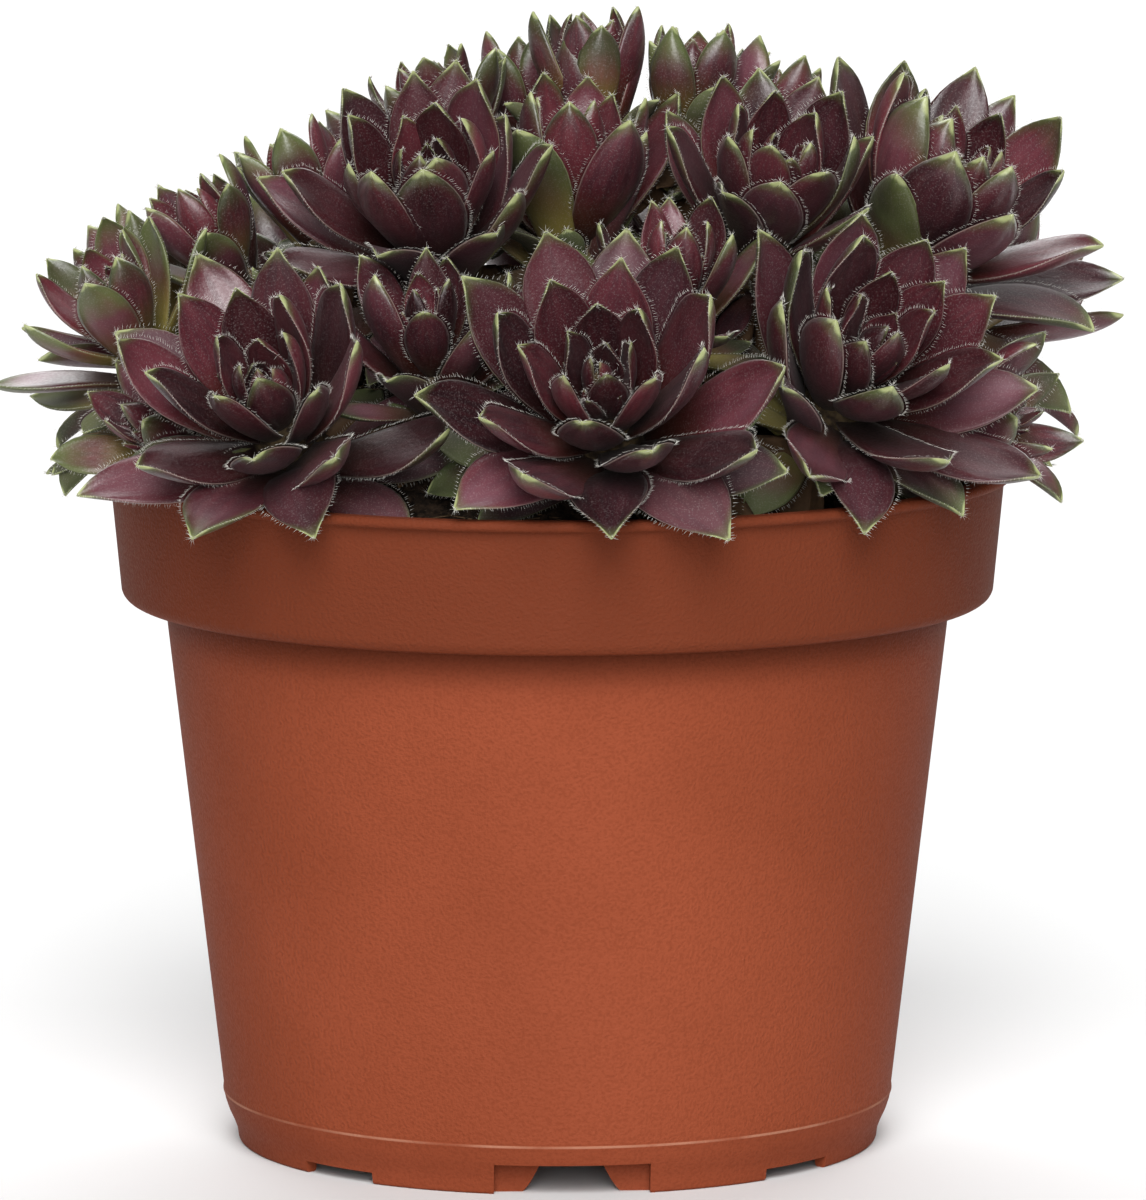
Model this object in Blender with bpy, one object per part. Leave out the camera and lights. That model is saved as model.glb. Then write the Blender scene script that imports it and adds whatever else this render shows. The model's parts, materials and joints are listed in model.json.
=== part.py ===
"""A clump of houseleek (sempervivum) in a moulded plastic nursery pot.

The frame: +Z up, the pot stands on z = 0 with its axis on the Z axis, and -Y is the front.
Every rosette is one solid: a stem, a small cone that carries the leaves, and the leaves themselves.
The leaves follow one growth rule, the golden-angle spiral, from the lowest leaf to the bud. A leaf
that would touch its neighbours, the soil or the rim is bent until it is clear of them.
"""

from collections import namedtuple
from math import acos, cos, hypot, pi, radians, sin

import bmesh
import bpy
import numpy as np
from mathutils import Matrix, Quaternion, Vector, noise
from mathutils.bvhtree import BVHTree

MM = 0.001
GAP = 0.3 * MM
MERGE = 0.01 * MM

# The pot: a 12 cm nursery pot, as radii and heights of its outer wall.
ROUND_STEPS = 36
POT_HEIGHT = 91.6 * MM
WALL = 1.2 * MM
FOOT_WALL = 1.8 * MM
FOOT_RADIUS = 43.2 * MM
SHOULDER_RADIUS = 45.1 * MM
SHOULDER_HEIGHT = 6.9 * MM
BODY_TOP_RADIUS = 52.8 * MM
BAND_HEIGHT = 73.6 * MM
BAND_LOW_RADIUS = 58.6 * MM
BAND_TOP_RADIUS = 60.0 * MM
BAND_ROUNDING = 1.8 * MM
BAND_STEPS = 2
LIP_RADIUS = 61.5 * MM
LIP_DEPTH = 1.4 * MM
EDGE_ROUNDING = 0.5 * MM
FLOOR_UNDERSIDE = 5.0 * MM
FOOT_BEND_HEIGHT = 4.3 * MM
FOOT_BEND_RADIUS = 44.5 * MM

# The notches that let water out under the foot: two wide ones with a recessed wall, four low ones.
NOTCH_TURN = radians(2.7)
WIDE_NOTCH_WIDTH = 20.6 * MM
WIDE_NOTCH_HEIGHT = 4.2 * MM
POCKET_DEPTH = 3.2 * MM
ARCH_TOP_WIDTH = 8.2 * MM
ARCH_FOOT_WIDTH = 14.6 * MM
ARCH_ROUNDNESS = 0.6
LOW_NOTCH_WIDTH = 12.0 * MM
LOW_NOTCH_HEIGHT = 1.6 * MM
DRAIN_RADIUS = 3.6 * MM
DRAIN_CIRCLE = 27.0 * MM
DRAIN_HOLES = 6
DRAIN_STEPS = 10

# The soil: level at the rim, heaped towards the middle, where the clump is oldest.
SOIL_RIM_HEIGHT = 86.0 * MM
SOIL_HEAP = 30.0 * MM
SOIL_HEAP_RADIUS = 54.0 * MM
SOIL_ROUGHNESS = 0.8 * MM
SOIL_GRAIN = 9.0 * MM
SOIL_SINKS = 0.3
SOIL_EDGE = 1.0 * MM
STEM_CLEARANCE = 0.5 * MM
SOIL_RINGS = 4
SOIL_STEPS = 18

# The leaves. Angles are measured from the plane across the rosette's axis.
GOLDEN_ANGLE = radians(137.508)
BUD_ELEVATION = radians(84)
STEEPEST = radians(88)
LEAF_SHARES = (0.0, 0.4, 0.78, 1.0)
INNER_LEAF_SHARES = (0.0, 0.62, 1.0)
WIDTH_CURVE = ((0.0, 0.4, 0.62, 0.78, 1.0), (0.18, 0.66, 1.0, 0.88, 0.0))
THICKNESS_CURVE = ((0.0, 0.35, 0.78, 1.0), (0.4, 1.0, 0.75, 0.0))
INNER_RISE = 0.42
BUD_RISE = 0.82
LEAF_WIDTH_SHARE = 0.39
LEAF_THICKNESS_SHARE = 0.078
LEAST_THICKNESS = 0.8 * MM
EDGE_RISE = 0.05
INNERMOST_SHORTER = 0.64
LOWEST_CURL = radians(-12)
INNER_CURL = radians(20)
DROOP = radians(62)
MOST_DROOP = radians(-95)
SKIRT = 0.12
ROOT_INSET = 0.46
TIP_LIFT = 0.03
LENGTH_SPREAD = (0.94, 1.04)
WIDTH_SPREAD = (0.94, 1.08)
TURN_SCATTER = radians(2.5)
CURL_SCATTER = radians(3)
ROLL_SCATTER = radians(5)

# How fast things change from the lowest leaf (rise 0) to the bud (rise 1): powers, and the rises
# at which the lowest leaves' own ways have faded out.
LENGTH_POWER = 2.2
ELEVATION_POWER = 0.9
HEIGHT_POWER = 1.15
INSET_POWER = 0.7
SKIRT_FADES = 0.3
CURL_SETTLES = 0.35
DROOP_FADES = 0.5

# The core that carries the leaves, in shares of the longest leaf.
CONE_HEIGHT = 0.34
CONE_RADIUS = 0.20
NECK = 0.30
STEM_RADIUS = 0.085
BUD_LENGTH = 0.26
FOOT_TAPER = 0.9
TOP_TAPER = 0.55
BUD_TAPER = 0.12
CORE_SIDES = 5
FOOT_DEPTH = 6.0 * MM
FOOT_PULL = 0.86

# How leaves make room for each other, for the soil and for the rim.
INTERLEAVE = 1.45
LEAST_ROOM = 0.12
BESIDE = 0.15
FAR_AWAY = 1.0
STRAIGHT = 1e-4
OUTLINE_SHARES = (0.2, 0.3, 0.4, 0.5, 0.6, 0.7, 0.8, 0.9, 1.0)
RIM_LIFT = radians(3)
RIM_CURL = radians(7)
STAND_UP = radians(5)
SHRINK = 0.975
FIRST_SEED = 100
CLEARANCE = 0.3 * MM
FLOOR_CLEARANCE = 0.8 * MM
RIM_ZONE_RADIUS = BAND_LOW_RADIUS - 3.0 * MM
MOST_BENDS = 16

Rosette = namedtuple(
    "Rosette", "name x y z lean_to lean length leaves low phase hand"
)

# Each rosette: its crown in millimetres, the way it leans and by how much, its longest leaf,
# how many leaves it has, the elevation of its lowest leaf, and where its spiral starts.
ROSETTES = [
    Rosette("rosette_front_middle", 6.5, -43, 98, 266, 46, 29, 30, 10, 40, 1),
    Rosette("rosette_front_left", -34.5, -34, 96.5, 252, 47, 28, 28, 10, 248, 1),
    Rosette("rosette_front_right", 35.5, -28, 101, 298, 49, 29, 28, 5, 296, 1),
    Rosette("rosette_middle_left", -15.5, -8, 118, 262, 37, 28, 28, 18, 344, 1),
    Rosette("rosette_middle_right", 27, -5, 120, 285, 36, 25, 26, 20, 224, -1),
    Rosette("rosette_far_right", 46, 1, 116, 307, 34, 30, 28, 8, 16, 1),
    Rosette("rosette_low_right", 51, -11, 96, 335, 66, 20, 12, 0, 90, 1),
    Rosette("rosette_far_left", -54.5, -4, 104.5, 215, 28, 21, 18, 8, 240, -1),
    Rosette("rosette_low_left", -48, -18, 94, 210, 60, 18, 10, 5, 0, -1),
    Rosette("rosette_centre", 2, 1, 119, 270, 8, 25, 18, 45, 60, 1),
    Rosette("rosette_tuft_left", -16, -28, 104, 250, 18, 20, 16, 22, 0, 1),
    Rosette("rosette_tuft_right", 15, -22, 111, 290, 16, 19, 16, 25, 0, -1),
    Rosette("rosette_top_middle", 5, 13, 133, 90, 5, 19, 18, 45, 0, 1),
    Rosette("rosette_top_left", -4, 24, 131, 110, 10, 17, 16, 45, 0, 1),
    Rosette("rosette_top_edge", -14, 13, 130, 150, 15, 17, 16, 40, 0, -1),
    Rosette("rosette_top_right", 17, 13, 132, 60, 10, 18, 16, 45, 0, 1),
    Rosette("rosette_top_end", 27, 21, 127, 40, 18, 19, 16, 40, 0, 1),
    Rosette("rosette_upper_left", -31, 8, 119, 170, 22, 19, 16, 35, 0, 1),
    Rosette("rosette_shoulder_left", -42, 6, 114, 185, 28, 18, 16, 30, 0, -1),
    Rosette("rosette_side_left", -50, 17, 104, 165, 40, 23, 20, 12, 0, 1),
    Rosette("rosette_back_left", -32, 36, 98, 130, 46, 28, 24, 12, 0, 1),
    Rosette("rosette_back_middle", 5, 44, 99, 86, 47, 29, 24, 10, 0, -1),
    Rosette("rosette_back_right", 40, 32, 98, 42, 46, 28, 24, 12, 0, 1),
    Rosette("rosette_side_right", 52, 19, 106, 15, 40, 24, 18, 15, 0, 1),
    Rosette("rosette_rear_left", -18, 30, 116, 125, 25, 24, 20, 25, 0, 1),
    Rosette("rosette_rear_right", 18, 32, 116, 60, 25, 24, 18, 25, 0, -1),
]

# Colours as linear red, green and blue, with a roughness each.
POT_FINISH = ((0.21, 0.055, 0.022), 0.55)
SOIL_FINISH = ((0.012, 0.009, 0.007), 0.95)
LEAF_FINISH = ((0.060, 0.020, 0.024), 0.45)


def unit(v):
    return v / np.linalg.norm(v)


def smooth_step(x):
    x = min(1.0, max(0.0, x))
    return x * x * (3 - 2 * x)


def soil_height(r):
    """The soil's level at a distance r from the pot's axis."""
    return SOIL_RIM_HEIGHT + SOIL_HEAP * (1 - smooth_step(r / SOIL_HEAP_RADIUS))


class Crown:
    """Where one rosette stands: its axes, its leaf-bearing cone and its stem."""

    def __init__(self, rosette):
        self.rosette = rosette
        self.base = np.array([rosette.x, rosette.y, rosette.z]) * MM
        to, lean = radians(rosette.lean_to), radians(rosette.lean)
        self.axis = np.array([sin(lean) * cos(to), sin(lean) * sin(to), cos(lean)])
        self.side = unit(np.cross(self.axis, [sin(to), -cos(to), 0.0]))
        self.ahead = np.cross(self.axis, self.side)
        self.length = rosette.length * MM
        self.cone_height = CONE_HEIGHT * self.length
        self.cone_radius = CONE_RADIUS * self.length
        self.top = self.base + self.axis * self.cone_height
        self.neck = self.base - self.axis * NECK * self.length
        self.foot = self.base * FOOT_PULL
        self.foot[2] = soil_height(hypot(*self.foot[:2])) - FOOT_DEPTH

    def outward(self, azimuth):
        return cos(azimuth) * self.side + sin(azimuth) * self.ahead


class Leaf:
    """One leaf: where it leaves the cone, which way it goes and how it curls."""

    def __init__(self, crown, number, reach, rng):
        rosette = crown.rosette
        self.crown = crown
        self.rise = rise = number / (rosette.leaves - 1)
        self.azimuth = radians(rosette.phase) + rosette.hand * number * GOLDEN_ANGLE
        self.azimuth += rng.normal(0, TURN_SCATTER)
        self.length = crown.length * (1 - INNERMOST_SHORTER * rise**LENGTH_POWER)
        self.length *= rng.uniform(*LENGTH_SPREAD)
        self.width = LEAF_WIDTH_SHARE * self.length * rng.uniform(*WIDTH_SPREAD)
        self.thickness = max(LEAST_THICKNESS, LEAF_THICKNESS_SHARE * self.length)
        out = crown.outward(self.azimuth)
        lowest = max(radians(rosette.low), self.squeezed(reach(out)))
        self.elevation = lowest + (BUD_ELEVATION - lowest) * rise**ELEVATION_POWER
        self.elevation += rng.normal(0, TURN_SCATTER)
        self.curl = LOWEST_CURL + (INNER_CURL - LOWEST_CURL) * smooth_step(rise / CURL_SETTLES)
        self.curl -= DROOP * max(0.0, -out[2]) * (1 - smooth_step(rise / DROOP_FADES))
        self.curl += rng.normal(0, CURL_SCATTER)
        self.roll = rng.normal(0, ROLL_SCATTER)

    def squeezed(self, reach):
        """How steep a full leaf has to stand to stay within its reach."""
        room = (reach - self.crown.cone_radius) / self.crown.length
        return acos(min(1.0, max(LEAST_ROOM, room)))

    def root(self, out):
        crown = self.crown
        height = crown.cone_height * self.rise**HEIGHT_POWER
        height -= SKIRT * crown.length * (1 - smooth_step(self.rise / SKIRT_FADES))
        inset = ROOT_INSET * crown.cone_radius * (1 - self.rise) ** INSET_POWER
        return crown.base + crown.axis * height + out * inset

    def midline(self, share):
        """A point of the midrib at a share of the leaf's length, and the leaf's axes there."""
        out = self.crown.outward(self.azimuth)
        turned = self.curl * share
        along = share
        up = 0.0
        if abs(self.curl) > STRAIGHT:
            along = sin(turned) / self.curl
            up = (1 - cos(turned)) / self.curl
        first = self.elevation - self.curl / 2
        start = cos(first) * out + sin(first) * self.crown.axis
        lift = cos(first) * self.crown.axis - sin(first) * out
        point = self.root(out) + self.length * (along * start + up * lift)
        heading = cos(turned) * start + sin(turned) * lift
        level = cos(turned) * lift - sin(turned) * start
        across = np.cross(level, heading)
        across, level = (
            cos(self.roll) * across + sin(self.roll) * level,
            cos(self.roll) * level - sin(self.roll) * across,
        )
        return point, heading, level, across

    def section(self, share):
        """Half the width, the rise of the edges and the depth of the keel at a share of the length."""
        wide = self.width * float(np.interp(share, *WIDTH_CURVE))
        deep = self.thickness * float(np.interp(share, *THICKNESS_CURVE))
        return wide / 2, EDGE_RISE * wide, deep

    def solid(self, extra=0.0):
        """The leaf as points and triangles: flat above, keeled below, pointed at the tip."""
        points = []
        shares = INNER_LEAF_SHARES if self.rise > INNER_RISE else LEAF_SHARES
        for share in shares[:-1]:
            point, _, level, across = self.midline(share)
            half, rise, deep = self.section(share)
            edge = point + level * (rise + extra)
            points.append(edge - across * (half + extra))
            points.append(edge + across * (half + extra))
            points.append(point - level * (deep + extra))
        point, heading, level, _ = self.midline(1.0)
        points.append(point + heading * extra + level * TIP_LIFT * self.width)
        faces = [(0, 2, 1)]
        last = len(points) - 1
        for row in range(0, last - 3, 3):
            for here, there in ((0, 1), (1, 2), (2, 0)):
                near, far = row + here, row + there
                faces.append((near, far, far + 3))
                faces.append((near, far + 3, near + 3))
        faces += [(last - 3, last - 2, last), (last - 2, last - 1, last), (last - 1, last - 3, last)]
        return [Vector(point) for point in points], faces

    def outline(self):
        """Points along the keel and the edges, closer together than the solid's own corners."""
        points = []
        for share in OUTLINE_SHARES:
            point, _, level, across = self.midline(share)
            half, _, deep = self.section(share)
            points += [point - level * deep, point - across * half, point + across * half]
        return points


def reach_of(crown, crowns):
    """A function giving how far this rosette may reach in a direction before it meets a neighbour."""

    def reach(direction):
        furthest = FAR_AWAY
        for other in crowns:
            away = other.top - crown.top
            distance = np.linalg.norm(away)
            if other is crown or direction @ away < BESIDE * distance:
                continue
            own_share = crown.length / (crown.length + other.length)
            furthest = min(furthest, INTERLEAVE * own_share * distance**2 / (direction @ away))
        return furthest

    return reach


def clear_of_pot(points):
    """True if these points lie above the soil and the rim, or outside the rim."""
    for point in points:
        r = hypot(point[0], point[1])
        floor = POT_HEIGHT if r > RIM_ZONE_RADIUS else soil_height(r)
        if r < LIP_RADIUS + FLOOR_CLEARANCE and point[2] < floor + FLOOR_CLEARANCE:
            return False
    return True


def bend_clear(leaf, others):
    """Bends the leaf in small steps until it touches nothing. False if it never comes clear.

    Over the rim a leaf rises at its root and droops at its tip. Among leaves it stands up.
    """
    for _ in range(MOST_BENDS):
        if not clear_of_pot(leaf.outline()):
            leaf.elevation += RIM_LIFT
            leaf.curl = max(leaf.curl - RIM_CURL, MOST_DROOP)
            continue
        tree = BVHTree.FromPolygons(*leaf.solid(CLEARANCE))
        if not any(tree.overlap(other) for other in others):
            return True
        leaf.elevation = min(leaf.elevation + STAND_UP, STEEPEST)
        leaf.length *= SHRINK
        leaf.width *= SHRINK
    return False


def tree_of(solids):
    points = []
    faces = []
    for corners, triangles in solids:
        faces += [tuple(i + len(points) for i in triangle) for triangle in triangles]
        points += corners
    return BVHTree.FromPolygons(points, faces)


def grow(crowns):
    """The leaves of every rosette, from the bud down, each bent clear of the rosettes before it."""
    cores = [core_tree(crown) for crown in crowns]
    grown = []
    trees = []
    for index, crown in enumerate(crowns):
        rng = np.random.default_rng(FIRST_SEED + index)
        reach = reach_of(crown, crowns)
        others = trees + cores[:index] + cores[index + 1 :]
        numbers = reversed(range(crown.rosette.leaves))
        leaves = [Leaf(crown, number, reach, rng) for number in numbers]
        leaves = [leaf for leaf in leaves if leaf.rise < BUD_RISE and bend_clear(leaf, others)]
        grown.append(leaves)
        trees.append(tree_of([leaf.solid(CLEARANCE) for leaf in leaves]))
    return grown


def lofted(rings, sides):
    """A closed bmesh through rings given as (centre, radius), in order along a stem."""
    bm = bmesh.new()
    centres = [Vector(centre) for centre, _ in rings]
    heading = Vector((0, 0, 1))
    turn = Quaternion()
    loops = []
    for row, (_, radius) in enumerate(rings):
        along = (centres[min(row + 1, len(rings) - 1)] - centres[max(row - 1, 0)]).normalized()
        turn = heading.rotation_difference(along) @ turn
        heading = along
        place = Matrix.Translation(centres[row]) @ turn.to_matrix().to_4x4()
        ends = row in (0, len(rings) - 1)
        made = bmesh.ops.create_circle(bm, cap_ends=ends, radius=radius, segments=sides, matrix=place)
        loops.append(made["verts"])
    for low, high in zip(loops, loops[1:]):
        edges = [e for e in bm.edges if all(v in low for v in e.verts)]
        edges += [e for e in bm.edges if all(v in high for v in e.verts)]
        bmesh.ops.bridge_loops(bm, edges=edges)
    bmesh.ops.triangulate(bm, faces=bm.faces, quad_method="FIXED")
    bmesh.ops.recalc_face_normals(bm, faces=bm.faces)
    return bm


def core_of(crown, extra=0.0):
    """The stem and cone of a rosette, swollen by extra all round."""
    stem = STEM_RADIUS * crown.length
    rings = [
        (crown.foot, FOOT_TAPER * stem),
        (crown.neck, stem),
        (crown.base, crown.cone_radius),
        (crown.top, TOP_TAPER * crown.cone_radius),
        (crown.top + crown.axis * BUD_LENGTH * crown.length, BUD_TAPER * crown.cone_radius),
    ]
    return lofted([(centre, radius + extra) for centre, radius in rings], CORE_SIDES)


def core_tree(crown):
    bm = core_of(crown, CLEARANCE)
    tree = BVHTree.FromBMesh(bm)
    bm.free()
    return tree


def material_of(name, finish):
    colour, roughness = finish
    material = bpy.data.materials.new(name)
    material.use_nodes = True
    shader = material.node_tree.nodes["Principled BSDF"]
    shader.inputs["Base Color"].default_value = (*colour, 1.0)
    shader.inputs["Roughness"].default_value = roughness
    shader.inputs["Metallic"].default_value = 0.0
    return material


def add_object(name, bm, finish=None, collection=None):
    """The bmesh as an object in a collection, or in the scene."""
    mesh = bpy.data.meshes.new(name)
    bm.to_mesh(mesh)
    bm.free()
    if finish:
        mesh.materials.append(material_of(name, finish))
    obj = bpy.data.objects.new(name, mesh)
    (collection or bpy.context.scene.collection).objects.link(obj)
    return obj


def combine(obj, cutters, operation):
    """Applies one Boolean of the object with the cutters, then removes them."""
    group = bpy.data.collections.new(obj.name + "_tools")
    bpy.context.scene.collection.children.link(group)
    for bm in cutters:
        add_object(obj.name + "_tool", bm, collection=group)
    boolean = obj.modifiers.new("combine", "BOOLEAN")
    boolean.operation = operation
    boolean.solver = "EXACT"
    boolean.operand_type = "COLLECTION"
    boolean.collection = group
    graph = bpy.context.evaluated_depsgraph_get()
    joined = bpy.data.meshes.new_from_object(obj.evaluated_get(graph))
    obj.modifiers.remove(boolean)
    old = obj.data
    obj.data = joined
    bpy.data.meshes.remove(old)
    joined.name = obj.name
    for tool in list(group.objects):
        bpy.data.objects.remove(tool)
    bpy.data.collections.remove(group)


def keep_outer_shell(obj):
    """Drops the sealed hollows and loose scraps that a union can leave, keeping the largest shell."""
    bm = bmesh.new()
    bm.from_mesh(obj.data)
    bmesh.ops.triangulate(bm, faces=bm.faces)
    left = set(bm.faces)
    shells = []
    while left:
        front = [left.pop()]
        shell = list(front)
        while front:
            near = {f for e in front.pop().edges for f in e.link_faces} & left
            left -= near
            front += near
            shell += near
        volume = sum(f.verts[0].co.dot(f.verts[1].co.cross(f.verts[2].co)) for f in shell)
        shells.append((volume, shell))
    shells.sort(key=lambda found: found[0])
    for _, shell in shells[:-1]:
        bmesh.ops.delete(bm, geom=shell, context="FACES")
    bm.to_mesh(obj.data)
    bm.free()


def turned(profile, steps):
    """A solid of revolution about the Z axis from (radius, height) points that end on the axis."""
    bm = bmesh.new()
    chain = [bm.verts.new((r, 0.0, z)) for r, z in profile]
    edges = [bm.edges.new(pair) for pair in zip(chain, chain[1:])]
    bmesh.ops.spin(
        bm,
        geom=chain + edges,
        axis=(0, 0, 1),
        cent=(0, 0, 0),
        angle=2 * pi,
        steps=steps,
        use_merge=True,
    )
    bmesh.ops.remove_doubles(bm, verts=bm.verts, dist=MERGE)
    bmesh.ops.dissolve_degenerate(bm, edges=bm.edges, dist=MERGE)
    bmesh.ops.recalc_face_normals(bm, faces=bm.faces)
    return bm


def arc(centre, radius, first, last, steps):
    """Points on a circle of the profile from one angle to another, in degrees."""
    angles = [radians(first + (last - first) * k / steps) for k in range(steps + 1)]
    return [(centre[0] + radius * cos(a), centre[1] + radius * sin(a)) for a in angles]


def pot_profile():
    """The pot's section, from the underside of its floor, round the outside, to the floor again."""
    skirt = FOOT_RADIUS - FOOT_WALL
    lip_foot = POT_HEIGHT - LIP_DEPTH
    band_inner = BAND_LOW_RADIUS - WALL
    floor_top = FLOOR_UNDERSIDE + WALL
    outer = [
        (0.0, FLOOR_UNDERSIDE),
        (skirt, FLOOR_UNDERSIDE),
        (skirt, 0.0),
        (FOOT_RADIUS - EDGE_ROUNDING, 0.0),
        (FOOT_RADIUS, LOW_NOTCH_HEIGHT),
        (FOOT_BEND_RADIUS, FOOT_BEND_HEIGHT),
        (SHOULDER_RADIUS, SHOULDER_HEIGHT),
        (BODY_TOP_RADIUS, BAND_HEIGHT),
    ]
    corner = (BAND_LOW_RADIUS - BAND_ROUNDING, BAND_HEIGHT + BAND_ROUNDING)
    outer += arc(corner, BAND_ROUNDING, -90, 0, BAND_STEPS)
    outer += [
        (BAND_TOP_RADIUS, lip_foot),
        (LIP_RADIUS, lip_foot + EDGE_ROUNDING),
        (LIP_RADIUS, POT_HEIGHT),
    ]
    inner = [
        (BAND_TOP_RADIUS - WALL, POT_HEIGHT),
        (band_inner, BAND_HEIGHT + BAND_ROUNDING),
        (BODY_TOP_RADIUS - WALL, BAND_HEIGHT + WALL / 2),
        (SHOULDER_RADIUS - WALL, floor_top),
        (0.0, floor_top),
    ]
    return outer + inner


def box(width, depth, height, place):
    """A closed block standing on the plane z = 0 of its place, with its middle on the X axis."""
    bm = bmesh.new()
    bmesh.ops.create_cube(bm, size=1.0)
    bmesh.ops.scale(bm, vec=(depth, width, height), verts=bm.verts)
    bmesh.ops.translate(bm, vec=(0, 0, height / 2), verts=bm.verts)
    bmesh.ops.transform(bm, matrix=place, verts=bm.verts)
    return bm


def at_rim(turn, radius, height=0.0):
    """A place on the foot ring: turned about Z, then out along its own X axis."""
    return Matrix.Rotation(turn, 4, "Z") @ Matrix.Translation((radius, 0, height))


def wide_notches():
    return [NOTCH_TURN - pi / 2, NOTCH_TURN + pi / 2]


def upright(edge):
    return abs(edge.verts[0].co.z - edge.verts[1].co.z) > 0.5 * WIDE_NOTCH_HEIGHT


def arch(turn):
    """The arched gap in the recessed wall: wider at the foot than at the top."""
    depth = 4 * POCKET_DEPTH
    bm = box(ARCH_FOOT_WIDTH, depth, WIDE_NOTCH_HEIGHT, Matrix.Identity(4))
    bmesh.ops.subdivide_edges(bm, edges=[e for e in bm.edges if upright(e)], cuts=2)
    for v in bm.verts:
        share = (v.co.z / WIDE_NOTCH_HEIGHT) ** ARCH_ROUNDNESS
        v.co.y *= 1 - share * (1 - ARCH_TOP_WIDTH / ARCH_FOOT_WIDTH)
    bmesh.ops.translate(bm, vec=(0, 0, -EDGE_ROUNDING), verts=bm.verts)
    bmesh.ops.transform(bm, matrix=at_rim(turn, FOOT_RADIUS - POCKET_DEPTH), verts=bm.verts)
    return bm


def make_pot():
    """The pot: a turned shell, with pockets and notches in its foot ring and holes in its floor."""
    pot = add_object("pot", turned(pot_profile(), ROUND_STEPS), POT_FINISH)
    pocket_middle = FOOT_RADIUS - POCKET_DEPTH - 0.5 * WALL
    backing_width = WIDE_NOTCH_WIDTH + WALL
    backings = [
        box(backing_width, POCKET_DEPTH + WALL, FLOOR_UNDERSIDE + 0.5 * WALL, at_rim(turn, pocket_middle))
        for turn in wide_notches()
    ]
    combine(pot, backings, "UNION")
    outside = FOOT_RADIUS + POCKET_DEPTH
    cutters = []
    for turn in wide_notches():
        place = at_rim(turn, outside - 0.5 * POCKET_DEPTH, -EDGE_ROUNDING)
        cutters.append(box(WIDE_NOTCH_WIDTH, 3 * POCKET_DEPTH, WIDE_NOTCH_HEIGHT + EDGE_ROUNDING, place))
        cutters.append(arch(turn))
    for quarter in range(4):
        turn = NOTCH_TURN + pi / 4 + quarter * pi / 2
        place = at_rim(turn, FOOT_RADIUS, -EDGE_ROUNDING)
        cutters.append(box(LOW_NOTCH_WIDTH, 6 * WALL, LOW_NOTCH_HEIGHT + EDGE_ROUNDING, place))
    combine(pot, cutters, "DIFFERENCE")
    combine(pot, [drain_hole(k) for k in range(DRAIN_HOLES)], "DIFFERENCE")
    return pot


def drain_hole(number):
    bm = bmesh.new()
    place = at_rim(2 * pi * number / DRAIN_HOLES, DRAIN_CIRCLE, FLOOR_UNDERSIDE)
    bmesh.ops.create_cone(
        bm,
        cap_ends=True,
        segments=DRAIN_STEPS,
        radius1=DRAIN_RADIUS,
        radius2=DRAIN_RADIUS,
        depth=6 * WALL,
        matrix=place,
    )
    return bm


def soil_profile():
    """The soil fills the pot with a small gap to its walls and floor, and is heaped on top."""
    shift = WALL + GAP
    floor = FLOOR_UNDERSIDE + shift
    profile = [
        (0.0, floor),
        (SHOULDER_RADIUS - shift - GAP, floor),
        (BODY_TOP_RADIUS - shift - GAP, BAND_HEIGHT + WALL),
        (BAND_LOW_RADIUS - shift - GAP, BAND_HEIGHT + BAND_ROUNDING + WALL),
        (BAND_LOW_RADIUS - shift, SOIL_RIM_HEIGHT - SOIL_EDGE),
    ]
    edge = BAND_LOW_RADIUS - shift - SOIL_EDGE
    radii = [edge * (SOIL_RINGS - k) / SOIL_RINGS for k in range(SOIL_RINGS + 1)]
    return profile + [(r, soil_height(r)) for r in radii]


def make_soil(crowns):
    """The soil, with a plain hole for each stem."""
    bm = turned(soil_profile(), SOIL_STEPS)
    for v in bm.verts:
        if v.co.z > SOIL_RIM_HEIGHT - SOIL_EDGE / 2:
            v.co.z += SOIL_ROUGHNESS * (noise.noise(v.co / SOIL_GRAIN) - SOIL_SINKS)
    soil = add_object("soil", bm, SOIL_FINISH)
    combine(soil, [core_of(crown, STEM_CLEARANCE) for crown in crowns], "DIFFERENCE")
    keep_outer_shell(soil)
    return soil


def leaf_solid(leaf):
    bm = bmesh.new()
    points, faces = leaf.solid()
    corners = [bm.verts.new(point) for point in points]
    for face in faces:
        bm.faces.new([corners[i] for i in face])
    return bm


def make_rosette(crown, leaves):
    """One rosette: its core and all its leaves, fused."""
    rosette = add_object(crown.rosette.name, core_of(crown), LEAF_FINISH)
    combine(rosette, [leaf_solid(leaf) for leaf in leaves], "UNION")
    keep_outer_shell(rosette)
    return rosette


def main():
    for obj in list(bpy.data.objects):
        bpy.data.objects.remove(obj)
    crowns = [Crown(rosette) for rosette in ROSETTES]
    make_pot()
    make_soil(crowns)
    for crown, leaves in zip(crowns, grow(crowns)):
        make_rosette(crown, leaves)


if __name__ == "__main__":
    main()
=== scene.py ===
"""The looks of a clump of houseleek (sempervivum) in a moulded plastic nursery pot.

The leaves grow by the same rule as in the model's source, so each fine leaf lies where its solid one is.
Then come what the solids leave out: the smallest leaves of each bud, the hairs on the edges and tips,
withered leaves under the rosettes, crumbs and fibres on the soil, and the grain of the pot.
"""

import json
from collections import namedtuple
from math import acos, atan2, cos, hypot, pi, radians, sin

import bmesh
import bpy
import numpy as np
from mathutils import Matrix, Quaternion, Vector, noise
from mathutils.bvhtree import BVHTree

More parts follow.
